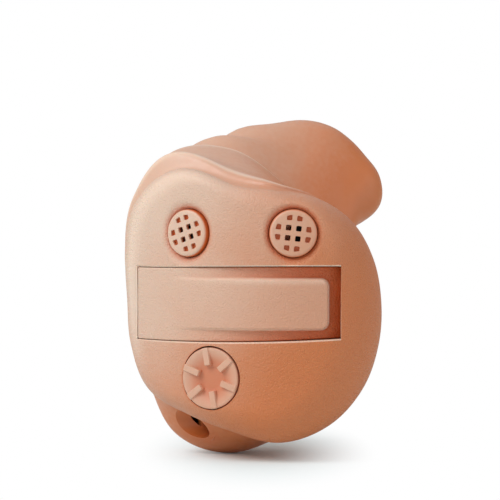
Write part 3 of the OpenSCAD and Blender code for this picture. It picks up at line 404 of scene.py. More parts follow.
def arc(middle, r, start, end, count):
    """Plan points on an arc between two angles in degrees."""
    a = np.radians(np.linspace(start, end, count))
    return columns(middle[0] + r * np.cos(a), middle[1] + r * np.sin(a))


def on_face(x, up):
    """Maps local points, with +Z out of the face, to that place of the face."""
    middle, across, out = face_place(x, up)
    return lambda p: middle + p[..., :1] * across + p[..., 1:2] * np.array([0, 0, 1]) + p[..., 2:3] * out


def along(place, turn, rise):
    """Maps local points, with +Z along a line that is turned from +Y and rises, to that line."""
    t, e = math.radians(turn), math.radians(rise)
    way = np.array([-math.cos(e) * math.sin(t), math.cos(e) * math.cos(t), math.sin(e)])
    side = np.cross(way, [0, 0, 1])
    side /= np.linalg.norm(side)
    up = np.cross(side, way)
    return lambda p: place + p[..., :1] * side + p[..., 1:2] * up + p[..., 2:3] * way


def smooth_step(t):
    """0 up to t = 0 and 1 from t = 1, with a smooth rise between."""
    t = np.clip(t, 0, 1)
    return t * t * (3 - 2 * t)


# The moulded skin
SPOKES = 360
ANGLES = np.arange(SPOKES) * 360 / SPOKES
RINGS, ROW_STEPS = 13, (10, 16, 10) + (6,) * 9
EASED_FROM, EASE_ROUNDS = sum(ROW_STEPS[:3]), 4
FLAT_ROWS, ROLL_ROWS, BACK_ROLL, BACK_FLAT = 31, 23, (1, 0.84, 0.4), (1, 0.75, 0.5, 0.25)
DISH_R, DISH_DEPTH, DISH_SOFT = 1.25 * (COVER_R + 0.125), 0.28, 0.1
WELL_R, WELL_DEPTH = COVER_R + 0.05, 0.6
SLEEVE_WALL, SLEEVE_END, SLEEVE_START, MIC_GAP = 0.28, 2.0, 0.5, 0.03
FLOOR_END, PORT_R, FRONT_PORT_X = 0.85, 0.55, 0.29
EAR_R, EAR_H = 0.8, 0.8
POT_AT, POT_H, TAB_L = FACE_WALL + 0.05, 1.6, 0.7
CHAMFER, FACE_EDGE, SEAM_GAP = 0.05, 0.07, 0.045
WELL_CLEAR, WELL_SHIFT = 0.07, np.array([0.04, 0.02, 0])
FREE_TURN, HOLE_OUT, KNUCKLE_OUT, HOLE_FRONT = 35, 6, 2, -4
VENT_AT, VENT_TURN, VENT_RISE = sized((-0.4375, 0.265, -0.9375)), -60, 9
MOUTH_R, MOUTH_OUT, MOUTH_IN = 1.25, 1.0, 0.9
BOSS_WALL, BOSS_START = 0.35, 0.75
OUTLET_AT, OUTLET_TURN, OUTLET_RISE = sized((0.531, 0.9725, 0.956)), -15, 13
NOSE_CUT, LIP_SHARE, VENT_EXIT = 0.14 * BODY_DEPTH, 1.12, (-0.116, -0.166)

# The painted highlights, pale lines along the face's rim and the shell's ridges, with the angles that they
# keep to
RIM_LINE, RIM_SOFT, RIM_END, RIM_TURNS = 0.86, 0.1, 0.04, (108, 200, 40)
CREST_W, CREST_FULL, RIDGE_TURNS, BACK_RIDGE_TURNS = 0.4, 1.3, (62, 150), (70, 118)


def dished(points):
    """The face's points, lowered into a soft-edged cone round each microphone cover."""
    points = points.copy()
    for x in (FRONT_MIC_X, REAR_MIC_X):
        r, height = from_face(points, x, MIC_UP)
        cone = -DISH_DEPTH + (r - WELL_R) * DISH_DEPTH / (DISH_R - WELL_R)
        gap = np.clip(0.5 + 0.5 * (cone - height) / DISH_SOFT, 0, 1)
        low = cone * (1 - gap) + height * gap - DISH_SOFT * gap * (1 - gap)
        near = (r < 1.5 * DISH_R) & (np.abs(height) < 2 * FACE_WALL)
        points += np.outer(np.where(near, np.minimum(low - height, 0), 0), face_place(x, MIC_UP)[2])
    return points


def edge_cutter(loop, outs, normals, size):
    """A closed three-sided strip that takes a 45 degree edge off along a loop of points."""
    past = 0.4
    a, b = loop + outs * size, loop - normals * size
    ends = [a + (a - b) * past, b + (b - a) * past, loop + (normals - outs) * 2 * size]
    rows = [np.array([e[i] for e in ends]) for i in range(len(loop))]
    return np.concatenate(rows), tube_faces(len(rows), 3, closed=True)


def edge_heights(x, gap=0):
    """The door's lower and upper edge at x. Both bow a little, and run straight past the pin."""
    x = np.maximum(x, PIN[0])
    low = EDGE_LOW - gap + EDGE_LOW_R - np.sqrt(EDGE_LOW_R ** 2 - (x - EDGE_LOW_X) ** 2)
    high = EDGE_HIGH + gap - EDGE_HIGH_R + np.sqrt(EDGE_HIGH_R ** 2 - (x - EDGE_HIGH_X) ** 2)
    return low, high


def angle_of(point, middle):
    """The angle of a plan point seen from a middle, in degrees."""
    return math.degrees(math.atan2(point[1] - middle[1], point[0] - middle[0]))


def opening_edge():
    """Points round the door's opening on the face, and at each the ways out of it and off the face."""
    left, right = front_ends(DOOR_GAP)
    gap = (DOOR_GAP + SEAM_GAP) / 2
    x = np.linspace(left, right, 61)
    low, high = edge_heights(x, gap)
    up = np.linspace(0, 1, 13)[1:-1]
    free_side, hinge_side = low[-1] + (high[-1] - low[-1]) * up, high[0] + (low[0] - high[0]) * up
    x_all = np.concatenate([x, 0 * up + right, x[::-1], 0 * up + left])
    z_all = np.concatenate([low, free_side, high[::-1], hinge_side])
    t = np.arcsin((x_all - BOW_X) / BOW_R)
    across = columns(np.cos(t), np.sin(t), 0)
    sides = (x_all == right) * 1.0 - (x_all == left) * 1.0
    rise = np.concatenate([0 * x - 1, 0 * up, 0 * x + 1, 0 * up])
    outs = across * sides[:, None] + columns(0, 0, rise)
    return columns(x_all, bow_depth(x_all), z_all), outs, columns(np.sin(t), -np.cos(t), 0)


def door_hole_plan():
    """The opening's plan: round the knuckle, out through the skin, and in again at the free end's arc."""
    r, far = KNUCKLE_R + DOOR_GAP, DOOR_REACH + DOOR_GAP
    free = arc(PIN, far, -FREE_TURN, FREE_TURN, 48)
    pin_turn = math.radians(PIN_TURN)
    square = np.array([math.sin(pin_turn), -math.cos(pin_turn)])
    start = PIN + (r + KNUCKLE_OUT) * square
    knuckle = arc(PIN, r, angle_of(start, PIN), -270, 40)
    outside = [[free[0][0], start[1] - HOLE_OUT], start + HOLE_OUT * square]
    return np.concatenate([free[::-1], outside, knuckle])


def shade(made, share, name="sunk", by_face=False):
    """Stores a share, 0 to 1, for each point or each face, of painted shade where it is sunk or of painted
    highlight, for the finish.
    """
    spots = [f.center for f in made.data.polygons] if by_face else [v.co for v in made.data.vertices]
    layer = made.data.attributes.new(name, "FLOAT", "FACE" if by_face else "POINT")
    points = np.array(spots) / MM + ORIGIN
    layer.data.foreach_set("value", np.clip(share(points), 0, 1).astype(np.float32))


def window(angles, first, last, soft=14):
    """1 between two angles and 0 outside them, with a smooth change."""
    return smooth_step((angles - first) / soft + 0.5) * smooth_step((last - angles) / soft + 0.5)


def round_middle(points):
    """Each point's angle round the face's middle and its distance from it."""
    x, z = points[:, 0], points[:, 2]
    return np.degrees(np.arctan2(z, x)) % 360, np.hypot(x, z)


def rim_highlight(points):
    """The painted highlight: a pale line that runs along the face's rim at the left."""
    angles, out = round_middle(points)
    near = out / reach(RIM, angles)
    line = smooth_step((near - RIM_LINE) / RIM_SOFT) * smooth_step((1 - near) / RIM_END)
    return line * window(angles, *RIM_TURNS)


def crest_highlight(points):
    """Painted highlights: pale lines on the crests of the shell's two ridges at the upper left."""
    angles, out = round_middle(points)
    share = 0 * out
    for table, deep, turns in ((RIDGE, depth(RIDGE_DEPTH, angles), RIDGE_TURNS),
                               (BACK_RIDGE, BACK_RIDGE_DEPTH * BODY_DEPTH, BACK_RIDGE_TURNS)):
        off = np.hypot(out - reach(table, angles), points[:, 1] - deep)
        share = np.maximum(share, smooth_step(CREST_FULL - off / CREST_W) * window(angles, *turns))
    return share


def dish_shade(points):
    """Painted shade in the dishes and wells round the microphone covers and in the knob's well."""
    deep = 0 * points[:, 0]
    knob_well = KNOB_R + WELL_CLEAR
    for x, up, r_in, r_out in ((FRONT_MIC_X, MIC_UP, WELL_R, DISH_R), (REAR_MIC_X, MIC_UP, WELL_R, DISH_R),
                               (KNOB_X, KNOB_UP, knob_well, knob_well + FACE_EDGE)):
        r, height = from_face(points, x, up)
        near = np.abs(height) < 3 * FACE_WALL
        deep = np.maximum(deep, np.where(near, 1 - smooth_step((r - r_in) / (r_out - r_in)), 0))
    return deep


def build_face():
    """The faceplate: the dome, its back, and its openings."""
    flat = [dome_row(ANGLES, t, 0) for t in np.linspace(0, 1, FLAT_ROWS)[1:]]
    roll = [dome_row(ANGLES, 1, math.sin(t)) for t in np.linspace(0, math.pi / 2, ROLL_ROWS)[1:]]
    front = [dished(row) for row in flat + roll]
    seam = [shell_ring(0, ANGLES), inner_ring(0, ANGLES)]
    back = [dome_row(ANGLES, 1, t, True) for t in BACK_ROLL]
    back += [dome_row(ANGLES, t, 0, True) for t in BACK_FLAT]
    pole = [dome_row(np.zeros(1), 0, 0, b)[0] for b in (False, True)]
    dome = poled_solid(pole[0], front + seam + back, pole[1])
    face = piece("face_skin", *dome, "case", "skin", "faceplate")
    for x, port_x in ((FRONT_MIC_X, FRONT_PORT_X), (REAR_MIC_X, 0)):
        place = on_face(x, MIC_UP)
        sleeve_r, bore_r, soft_r = MIC_R + SLEEVE_WALL, MIC_R + MIC_GAP, WELL_R + 2 * CHAMFER
        add(face, *turned([(sleeve_r, -SLEEVE_END), (sleeve_r, -SLEEVE_START)], place))
        soft = [(soft_r, CHAMFER - DISH_DEPTH), (WELL_R, -DISH_DEPTH - CHAMFER), (WELL_R, -WELL_DEPTH)]
        cut(face, *turned([(soft_r, 2 * OVERRUN)] + soft, place))
        cut(face, *turned([(bore_r, -SLEEVE_END - OVERRUN), (bore_r, -FLOOR_END)], place))
        beside = lambda p: place(p + [port_x, 0, 0])
        cut(face, *turned([(PORT_R, -SLEEVE_END), (PORT_R, 0)], beside, 64))
    for low in (EDGE_HIGH + 2 * DOOR_GAP, EDGE_LOW - 2 * DOOR_GAP - EAR_H):
        add(face, *prism(disc(PIN, EAR_R, 60), low, low + EAR_H))
    r = KNOB_R + WELL_CLEAR
    well = lambda p: on_face(KNOB_X, KNOB_UP)(p + WELL_SHIFT)
    cut(face, *turned([(r, -POT_AT - POT_H - TAB_L), (r, POT_H)], well))
    slab = prism(door_hole_plan(), EDGE_LOW - 4 * DOOR_GAP, EDGE_HIGH + 4 * DOOR_GAP)
    x = np.linspace(-2 * FACE_REACH, 2 * FACE_REACH, 193)
    low, high = edge_heights(x, (DOOR_GAP + SEAM_GAP) / 2)
    x, z = np.concatenate([columns(x, low), columns(x, high)[::-1]]).T
    rows = [columns(x, y, z) for y in (HOLE_FRONT, BODY_DEPTH / 2)]
    tool = piece("cutter", *slab, None)
    combine(tool, piece("outline", *rows_solid(rows), None), "INTERSECT")
    combine(face, tool, "DIFFERENCE")
    cut(face, *edge_cutter(*opening_edge(), FACE_EDGE))
    finish_edges(face)
    # Painted shade in the dishes and wells round the covers and the knob
    shade(face, dish_shade)
    # Painted highlight along the face's rim at the left
    shade(face, rim_highlight, "painted_highlight")
    return face


def build_shell():
    """The shell: from the seam to the canal's nose, with the vent's bore and the outlet."""
    outer = blend_rows([shell_ring(k, ANGLES) for k in range(RINGS)], ROW_STEPS)
    outer = eased(outer, EASED_FROM, EASE_ROUNDS)
    inner = [inner_ring(k, ANGLES) for k in reversed(range(len(INNER_BACK)))]
    n = SPOKES
    tip, inner_tip = outer[-1][0], sized(NECK_MIDDLE) - [0, SHELL_WALL, 0]
    rows = outer[:-1]
    points = np.concatenate([*rows, [tip, inner_tip], *inner])
    a, b = len(rows) * n, len(inner) * n
    faces = tube_faces(len(rows), n) + tube_faces(len(inner), n, a + 2)
    faces += [(a, a - n + j, a - n + (j + 1) % n) for j in range(n)]
    faces += [(a + 1, a + 2 + (j + 1) % n, a + 2 + j) for j in range(n)]
    faces += [(a + 2 + b - n + j, a + 2 + b - n + (j + 1) % n, (j + 1) % n, j) for j in range(n)]
    shell = piece("shell_skin", points, faces, "case", "skin", "shell")
    vent = along(VENT_AT, VENT_TURN, VENT_RISE)
    end = VENT_BORE_L + VENT_SOCKET_L
    add(shell, *turned([(VENT_R + BOSS_WALL, BOSS_START), (VENT_R + BOSS_WALL, end)], vent, 64))
    tube = VENT_TUBE_R + 2 * TUBE_GAP
    bore = [(tube, end + OVERRUN), (tube, VENT_BORE_L), (VENT_R, VENT_BORE_L)]
    flare = [(VENT_R + (MOUTH_R - VENT_R) * t, MOUTH_IN - (MOUTH_IN + MOUTH_OUT) * t)
             for t in np.linspace(0, 1, 13)]
    cut(shell, *turned(bore + flare + [(MOUTH_R, -2 * MOUTH_OUT)], vent, 96))
    outlet = along(OUTLET_AT, OUTLET_TURN, OUTLET_RISE)
    lip = LIP_SHARE * OUTLET_R + TUBE_GAP
    step = [(OUTLET_R, -NOSE_CUT), (OUTLET_R, -TUBE_GAP), (lip, -TUBE_GAP), (lip, NOSE_CUT)]
    cut(shell, *turned(step, outlet, 96))
    exit_at = outlet(np.array([VENT_EXIT[0] * FACE_REACH, VENT_EXIT[1] * FACE_REACH, 0]))
    r = VENT_TUBE_R - TUBE_WALL
    cut(shell, *turned([(r, -NOSE_CUT), (r, NOSE_CUT)], along(exit_at, OUTLET_TURN, OUTLET_RISE), 48))
    finish_edges(shell)
    # Painted shade in the vent's mouth and bore
    shade(shell, mouth_shade)
    # Painted highlights on the crests of the two ridges
    shade(shell, crest_highlight, "painted_highlight")
    return shell


def beside_vent(points):
    """How far in along the vent points lie, and how far from its middle line."""
    place = along(VENT_AT, VENT_TURN, VENT_RISE)
    start = place(np.zeros(3))
    way = place(np.array([0, 0, 1.0])) - start
    local = points - start
    s = local @ way
    return s, np.linalg.norm(local - np.outer(s, way), axis=1)


def mouth_shade(points):
    """Painted shade inside the vent's mouth and bore."""
    s, r = beside_vent(points)
    near = (s > -2 * MOUTH_OUT) & (s < VENT_BORE_L)
    return np.where(near & (r < MOUTH_R), smooth_step((s + MOUTH_OUT) / (MOUTH_OUT + MOUTH_IN)), 0)


def disc(middle, r, count):
    """A plan circle."""
    return arc(middle, r, 0, 360 - 360 / count, count)


def nearest(points, side):
    """The point furthest left, for side -1, or furthest right, for side 1."""
    return max(points, key=lambda p: side * p[0])


def crossings(middle_a, r_a, middle_b, r_b):
    """The two places where two plan circles cross."""
    d = middle_b - middle_a
    gap = np.linalg.norm(d)
    share = (r_a ** 2 - r_b ** 2 + gap ** 2) / (2 * gap)
    u = d / gap
    off = math.sqrt(r_a ** 2 - share ** 2) * np.array([-u[1], u[0]])
    return [middle_a + share * u + off, middle_a + share * u - off]


def front_ends(gap):
    """Where the door's front starts and ends in x, made longer by that gap at each end."""
    return (nearest(crossings(PIN, KNUCKLE_R + gap, BOW_MIDDLE, BOW_R), -1)[0],
            nearest(crossings(PIN, DOOR_REACH + gap, BOW_MIDDLE, BOW_R), 1)[0])


# The battery door
PAD_RIGHT, PAD_CORNER, PAD_SOFT = 0.528 * FACE_REACH, 0.47, 0.1
PAD_LOW, PAD_HIGH = DOOR_MID - 0.344 * DOOR_H, DOOR_MID + 0.349 * DOOR_H
RECESS_START = -0.625 * FACE_REACH
RECESS_ENDS = np.array([[RECESS_START, bow_depth(RECESS_START)], DOOR_CORNER + [0, RECESS_DEPTH]])
RECESS_X = (RECESS_ENDS[:, 0].mean() + ((RECESS_ENDS[1, 1] - BOW_R) ** 2 - (RECESS_ENDS[0, 1] - BOW_R) ** 2)
            / (2 * (RECESS_ENDS[1, 0] - RECESS_ENDS[0, 0])))
RECESS_R = math.hypot(RECESS_ENDS[0, 0] - RECESS_X, RECESS_ENDS[0, 1] - BOW_R)
CRADLE_WALL, FLOOR_GAP, FLOOR_HOLE_R, POCKET_R = 0.25, 0.02, 0.78 * CELL_R, CELL_R + 0.05
CRADLE_LOW, CRADLE_HIGH = DOOR_MID - 0.475 * DOOR_H, DOOR_MID - 0.02 * DOOR_H
SLOT_HALF, SLOT_END, SLOT_PAST, PIN_CLEAR = 0.8, 60, 0.05, 0.03
# The first three set the painted highlights on the door; the last two, the painted shade of the recess and of
# the door's back.
PAD_TOP_HIGHLIGHT, EDGE_HIGHLIGHT, HIGHLIGHT_RISE, RECESS_PAST, BACK_SHADE = 0.6, 0.7, 1.6, 1.25, 0.3


def recess_depth(x):
    """Depth of the recess round the pad: a circle through its shallow and its deep end, seen from above."""
    return BOW_R - np.sqrt(RECESS_R ** 2 - (x - RECESS_X) ** 2)


def pad_share(x, z):
    """1 on the door's pad and 0 beside it, with a soft shoulder between."""
    half = (PAD_HIGH - PAD_LOW) / 2 - PAD_CORNER
    dx = np.maximum(x - (PAD_RIGHT - PAD_CORNER), 0)
    dz = np.maximum(np.abs(z - (PAD_LOW + PAD_HIGH) / 2) - half, 0)
    return smooth_step(0.5 + (PAD_CORNER - np.hypot(dx, dz)) / (2 * PAD_SOFT))


def door_plan():
    """The door's plan, from its left end along the front, round the free end and back round the knuckle."""
    back_r = BOW_R - DOOR_DEPTH
    left = nearest(crossings(PIN, KNUCKLE_R, BOW_MIDDLE, BOW_R), -1)
    right = nearest(crossings(PIN, DOOR_REACH, np.array([RECESS_X, BOW_R]), RECESS_R), 1)
    behind = nearest(crossings(PIN, DOOR_REACH, BOW_MIDDLE, back_r), 1)
    inner, meet = under_bow(PIN_TURN, DOOR_DEPTH), under_bow(PIN_TURN, PIN_DEPTH + KNUCKLE_R)
    x = np.linspace(left[0], right[0] - CHAMFER, 240)
    sunk = np.where(x > RECESS_START, recess_depth(x) - bow_depth(x), 0)
    front = columns(x, bow_depth(x))
    soft = math.degrees(CHAMFER / DOOR_REACH)
    free = arc(PIN, DOOR_REACH, angle_of(right, PIN) + soft, angle_of(behind, PIN), 20)
    rear = arc(BOW_MIDDLE, back_r, angle_of(behind, BOW_MIDDLE), angle_of(inner, BOW_MIDDLE), 60)[1:]
    turn = (angle_of(left, PIN) - angle_of(meet, PIN)) % 360
    knuckle = arc(PIN, KNUCKLE_R, angle_of(meet, PIN), angle_of(meet, PIN) + turn, 40)[:-1]
    rest = np.concatenate([free, rear, knuckle])
    return np.concatenate([front, rest]), np.concatenate([sunk, 0 * rest[:, 0]])


def build_door():
    """The door: its front with the soft pad, the block behind, the knuckle and the cradle for the cell."""
    plan, sunk = door_plan()
    recessed = plan + columns(0, sunk)
    along_edge = np.roll(recessed, -1, axis=0) - np.roll(recessed, 1, axis=0)
    along_edge /= np.linalg.norm(along_edge, axis=1, keepdims=True)
    outward = columns(along_edge[:, 1], -along_edge[:, 0])
    low, high = edge_heights(plan[:, 0], (DOOR_GAP - SEAM_GAP) / 2)
    side = CHAMFER / DOOR_H
    rows = []
    for share in np.concatenate([[0], np.linspace(side, 1 - side, 84), [1]]):
        z = low + (high - low) * share
        p = plan + columns(0, sunk * (1 - pad_share(plan[:, 0], z)))
        rows.append(np.column_stack([p - outward * CHAMFER * (share in (0, 1)), z]))
    door = piece("door_skin", *rows_solid(rows), "door", "skin", "battery_door")
    cell_low = DOOR_MID - CELL_H / 2
    cradle = piece("cradle", *prism(disc(CELL, POCKET_R + CRADLE_WALL, 144), CRADLE_LOW, CRADLE_HIGH), None)
    bow = piece("bow", *prism(disc(BOW_MIDDLE, BOW_R - DOOR_WALL / 2, 240), -DOOR_H, DOOR_H), None)
    combine(cradle, bow, "INTERSECT")
    combine(door, cradle, "UNION")
    cut(door, *prism(disc(CELL, POCKET_R, 144), cell_low - FLOOR_GAP, EDGE_HIGH + OVERRUN))
    cut(door, *prism(disc(CELL, FLOOR_HOLE_R, 96), CRADLE_LOW - OVERRUN, cell_low))
    middle, turn = np.linalg.norm(CELL - PIN), angle_of(CELL, PIN)
    slot = np.concatenate([arc(PIN, middle - SLOT_HALF, turn, SLOT_END, 24),
                           arc(PIN, middle + SLOT_HALF, turn, SLOT_END, 24)[::-1]])
    cut(door, *prism(slot, EDGE_LOW - OVERRUN, cell_low + SLOT_PAST))
    cut(door, *prism(disc(PIN, PIN_R + PIN_CLEAR, 48), EDGE_LOW - OVERRUN, EDGE_HIGH + OVERRUN))
    finish_edges(door)
    # Painted shade in the recess and on the door's ends and back
    shade(door, recess_shade)
    # Painted highlights on the pad's edges and the door's upper edge
    shade(door, door_highlight, "painted_highlight", by_face=True)
    return door


def recess_shade(points):
    """Painted shade in the recess round the pad, growing with its depth. The door's ends and back get an even
    painted shade of BACK_SHADE.
    """
    share = (points[:, 1] - bow_depth(points[:, 0])) / RECESS_DEPTH
    return np.where(share < RECESS_PAST, share, BACK_SHADE)


def door_highlight(points):
    """Painted highlights along the pad's upper and free edge and on the door's upper edge."""
    x, z = points[:, 0], points[:, 2]
    sunk = points[:, 1] - bow_depth(x)
    share = pad_share(x, z)
    top = PAD_TOP_HIGHLIGHT * smooth_step((z - PAD_HIGH + PAD_CORNER) / PAD_CORNER)
    rim = 4 * share * (1 - share) + np.where(share > 0.5, top, 0)
    rim = rim * smooth_step((x - RECESS_START) / FACE_REACH * HIGHLIGHT_RISE) * (sunk < RECESS_DEPTH * 1.1)
    high = edge_heights(x)[1]
    return np.maximum(rim, np.where((z > high - CHAMFER) & (np.abs(sunk) < CHAMFER), EDGE_HIGHLIGHT, 0))


# The microphone covers
GRILLE_PROUD, GRILLE_T, SKIRT_T, GRID_REACH, COVER_ROUND = 0.04, 0.22, 0.2, 1.05, 0.2
HOLE_CORNER, HOLE_FLARE, BLIND_DEPTH = 0.06, 0.02, 0.19
FLARE_START, FLARE_MIDDLE, HOLE_SHADE = 0.07, 0.025, 1.5
FRONT_COVER_TURN, REAR_COVER_TURN, GRID = -6, 18, (-1.5, -0.5, 0.5, 1.5)


def hole_outline(x, y, grow):
    """A square hole with round corners, kept inside the grid's round edge."""
    half, corner = GRID_HOLE / 2 + grow, HOLE_CORNER + grow
    quarters = [arc((sx * (half - corner) + x, sy * (half - corner) + y), corner, start, start + 90, 5)
                for sx, sy, start in ((1, 1, 0), (-1, 1, 90), (-1, -1, 180), (1, -1, 270))]
    outline = np.concatenate(quarters)
    r = np.linalg.norm(outline, axis=1, keepdims=True)
    return outline * np.minimum(1, (GRID_REACH + grow) / r)


def build_cover(end, x, turn):
    """A round cap, for the front or rear end, with four open holes in the middle and eight blind ones."""
    a = math.radians(turn)
    spin = np.array([[math.cos(a), math.sin(a), 0], [-math.sin(a), math.cos(a), 0], [0, 0, 1]])
    place = lambda p: on_face(x, MIC_UP)(p @ spin)
    edge = [(COVER_R - COVER_ROUND * (1 - math.cos(t)), GRILLE_PROUD - COVER_ROUND * (1 - math.sin(t)))
            for t in np.linspace(0, math.pi / 2, 8)]
    inner = COVER_R - SKIRT_T
    profile = [(inner, GRILLE_PROUD - GRILLE_T), (inner, -WELL_DEPTH), (COVER_R, -WELL_DEPTH)] + edge
    solid = turned(profile, place, 96)
    cover = piece(end + "_cover", *solid, "case", "grille", end + "_mic_cover")
    points, faces = [], []
    for i in GRID:
        for j in GRID:
            if abs(i) + abs(j) < 3:
                low = -WELL_DEPTH - OVERRUN if abs(i) + abs(j) < 2 else GRILLE_PROUD - BLIND_DEPTH
                rows = [columns(*hole_outline(i * GRID_PITCH, j * GRID_PITCH, grow).T, h)
                        for grow, h in ((0, low), (0, GRILLE_PROUD - FLARE_START),
                                        (HOLE_FLARE / 3, GRILLE_PROUD - FLARE_MIDDLE),
                                        (HOLE_FLARE, GRILLE_PROUD), (2 * HOLE_FLARE, 2 * GRILLE_PROUD))]
                made, sides = rows_solid([place(row) for row in rows])
                faces += [tuple(v + sum(map(len, points)) for v in f) for f in sides]
                points.append(made)
    cut(cover, np.concatenate(points), faces)
    finish_edges(cover)
    # Painted shade that grows below the top of the grille, in the holes and down the sides
    top = GRILLE_PROUD - HOLE_FLARE
    shade(cover, lambda points: HOLE_SHADE * (top - from_face(points, x, MIC_UP)[1]) / BLIND_DEPTH)
    return cover


# The volume knob
KNOB_PROUD, RIM_W, DISH_H, HUB_SHARE, RIB_START_SHARE, RIB_TURN = 0.02, 0.13, 0.34, 0.34, 0.42, 10
SPINDLE_R, RIB_SOFT, RIM_ROUND, DISH_RISE, BACK_EDGE, KNOB_SHARP = 0.4, 0.05, 0.08, 0.75, 0.05, 50
KNOB_LOW, SOCKET_TOP = KNOB_PROUD - KNOB_H, KNOB_PROUD - 0.6 * KNOB_H


def knob_height(r, a):
    """Height of the knob's face: a low hub, a dish that rises towards the rim, and flat-topped ribs."""
    hub, top = HUB_SHARE * KNOB_R, KNOB_R - RIM_W
    rise = np.clip((r - hub) / (top - hub), 0, 1)
    dish = -DISH_H * (1 - DISH_RISE * (smooth_step(rise) + rise) / 2)
    share = 0 * a
    for i in range(RIB_COUNT):
        off = a - math.radians(RIB_TURN + (i + 0.5) * 360 / RIB_COUNT)
        beside, out = np.abs(r * np.sin(off)), r * np.cos(off)
        rib = smooth_step((RIB_W / 2 + RIB_SOFT / 2 - beside) / RIB_SOFT)
        share = np.maximum(share, rib * smooth_step((out - RIB_START_SHARE * KNOB_R) / RIB_SOFT + 0.5))
    height = dish * (1 - share)
    edge = np.clip((r - KNOB_R + RIM_ROUND) / RIM_ROUND, 0, 1)
    return height - RIM_ROUND * (1 - np.sqrt(1 - edge ** 2))


def build_knob():
    """The knob: its ribbed face, a round edge, and the socket for the spindle."""
    a = np.linspace(0, 2 * math.pi, SPOKES, endpoint=False)
    radii = np.concatenate([np.linspace(0, KNOB_R - RIM_ROUND, 52)[1:],
                            KNOB_R - RIM_ROUND + RIM_ROUND * np.sin(np.linspace(0, math.pi / 2, 7)[1:])])
    rings = [(r, KNOB_PROUD + knob_height(r, a)) for r in radii]
    rings += [(KNOB_R, KNOB_LOW + BACK_EDGE), (KNOB_R - BACK_EDGE, KNOB_LOW), (SPINDLE_R, KNOB_LOW),
              (SPINDLE_R, SOCKET_TOP)]
    solid = turned(rings, on_face(KNOB_X, KNOB_UP), SPOKES)
    knob = piece("ribbed_knob", *solid, "knob", "knob", "volume_knob")
    finish_edges(knob, KNOB_SHARP)
    # Painted shade that grows with depth in the knob's dish
    shade(knob, lambda points: (KNOB_PROUD - from_face(points, KNOB_X, KNOB_UP)[1]) / DISH_H)
    return knob


# Materials
class Wire:
    """A shader value that can be used in sums: each operator adds its Math node."""

    def __init__(self, paint, socket):
        self.paint, self.socket = paint, socket

    def sum(self, operation, *others):
        """The Math node of that operation on this value and the others."""
        return self.paint.node("Math", {"operation": operation}, dict(enumerate([self, *others])))

    def __add__(self, other):
        return self.sum("ADD", other)

    def __sub__(self, other):
        return self.sum("SUBTRACT", other)

    def __rsub__(self, other):
        return self.paint.node("Math", {"operation": "SUBTRACT"}, {0: other, 1: self})

    def __mul__(self, other):
        return self.sum("MULTIPLY", other)

    def step(self, low, high):
        """0 below low and 1 above high, with a smooth rise between."""
        return self.paint.node("MapRange", {"interpolation_type": "SMOOTHSTEP"},
                               {"Value": self, "From Min": low, "From Max": high})


class Paint:
    """One material and its nodes."""

    def __init__(self, name):
        self.material = bpy.data.materials.new(name)
        self.material.use_nodes = True
        self.tree = self.material.node_tree
        self.shader = self.tree.nodes["Principled BSDF"]

    def feed(self, socket, value):
        """Links a shader value to a socket, or sets the socket to a constant."""
        if isinstance(value, Wire):
            self.tree.links.new(value.socket, socket)
        elif isinstance(value, tuple) and len(value) == 3 and socket.type == "RGBA":
            socket.default_value = (*value, 1)
        else:
            socket.default_value = value

    def node(self, kind, settings, inputs, output=0):
        """Adds a node, sets it up, and gives back one of its outputs."""
        made = self.tree.nodes.new("ShaderNode" + kind)
        for key, value in settings.items():
            setattr(made, key, value)
        for key, value in inputs.items():
            self.feed(made.inputs[key], value)
        return Wire(self, made.outputs[output])

    def colours(self, factor, a, b):
        """A blend of two colours."""
        return self.node("Mix", {"data_type": "RGBA"}, {0: factor, 6: a, 7: b}, 2)

    def place(self):
        """The place on the piece, in millimetres."""
        spot = self.node("TexCoord", {}, {}, "Object")
        return self.node("VectorMath", {"operation": "SCALE"}, {0: spot, "Scale": 1 / MM})

    def noise(self, size, detail=2):
        """Noise with grains of that size in millimetres, about 0.5 in the middle."""
        return self.node("TexNoise", {}, {"Vector": self.place(), "Scale": 1 / size, "Detail": detail})

    def bump(self, height, lift):
        """Feeds a height, times lift in millimetres, to the shader's normal."""
        normal = self.node("Bump", {}, {"Height": height, "Distance": lift * MM, "Strength": 1.0})
        self.feed(self.shader.inputs["Normal"], normal)

    def set(self, **sockets):
        """Feeds the shader's sockets, named with _ for each space."""
        for key, value in sockets.items():
            self.feed(self.shader.inputs[key.replace("_", " ")], value)


def level(r, g, b):
    """A colour as it shows on a screen, 11 to 255 a part, as the shader's linear values."""
    return tuple(((c / 255 + 0.055) / 1.055) ** 2.4 for c in (r, g, b))


# SKIN_SHADE is the colour of the painted shade in hollows. The colour on the next line is that of the painted
# highlights.
SKIN_PALE, SKIN_DEEP, SKIN_SHADE = level(223, 189, 167), level(206, 116, 61), level(206, 96, 36)
SKIN_HIGHLIGHT, SEAM_HIGHLIGHT = level(243, 212, 190), 0.1
# Painted light: the tone runs paler towards the upper left, the lamp's side, along this way and over this
# range, mixed with random clouds and grain.
PAINTED_LIGHT_WAY, PAINTED_LIGHT_RANGE = (0.75, 0, -0.5), (-11.5, 0.5)
CLOUD_SIZE, CLOUD_SHARE, GRAIN_SHARE, HIGHLIGHT_SHARE = 3.2, 1.2, 1.5, 0.75


def past_opening(paint):
    """How far a place on the face lies outside the door's opening, in millimetres, as a shader value."""
    spot = paint.node("VectorMath", {"operation": "ADD"}, {0: paint.place(), 1: tuple(ORIGIN)})
    x, z = (paint.node("SeparateXYZ", {}, {0: spot}, i) for i in (0, 2))
    left, right = front_ends(0)
    from_low, from_high = x - EDGE_LOW_X, x - EDGE_HIGH_X
    low = from_low * from_low * (0.5 / EDGE_LOW_R) + EDGE_LOW
    high = from_high * from_high * (-0.5 / EDGE_HIGH_R) + EDGE_HIGH
    return (low - z).sum("MAXIMUM", z - high).sum("MAXIMUM", x - right).sum("MAXIMUM", left - x)


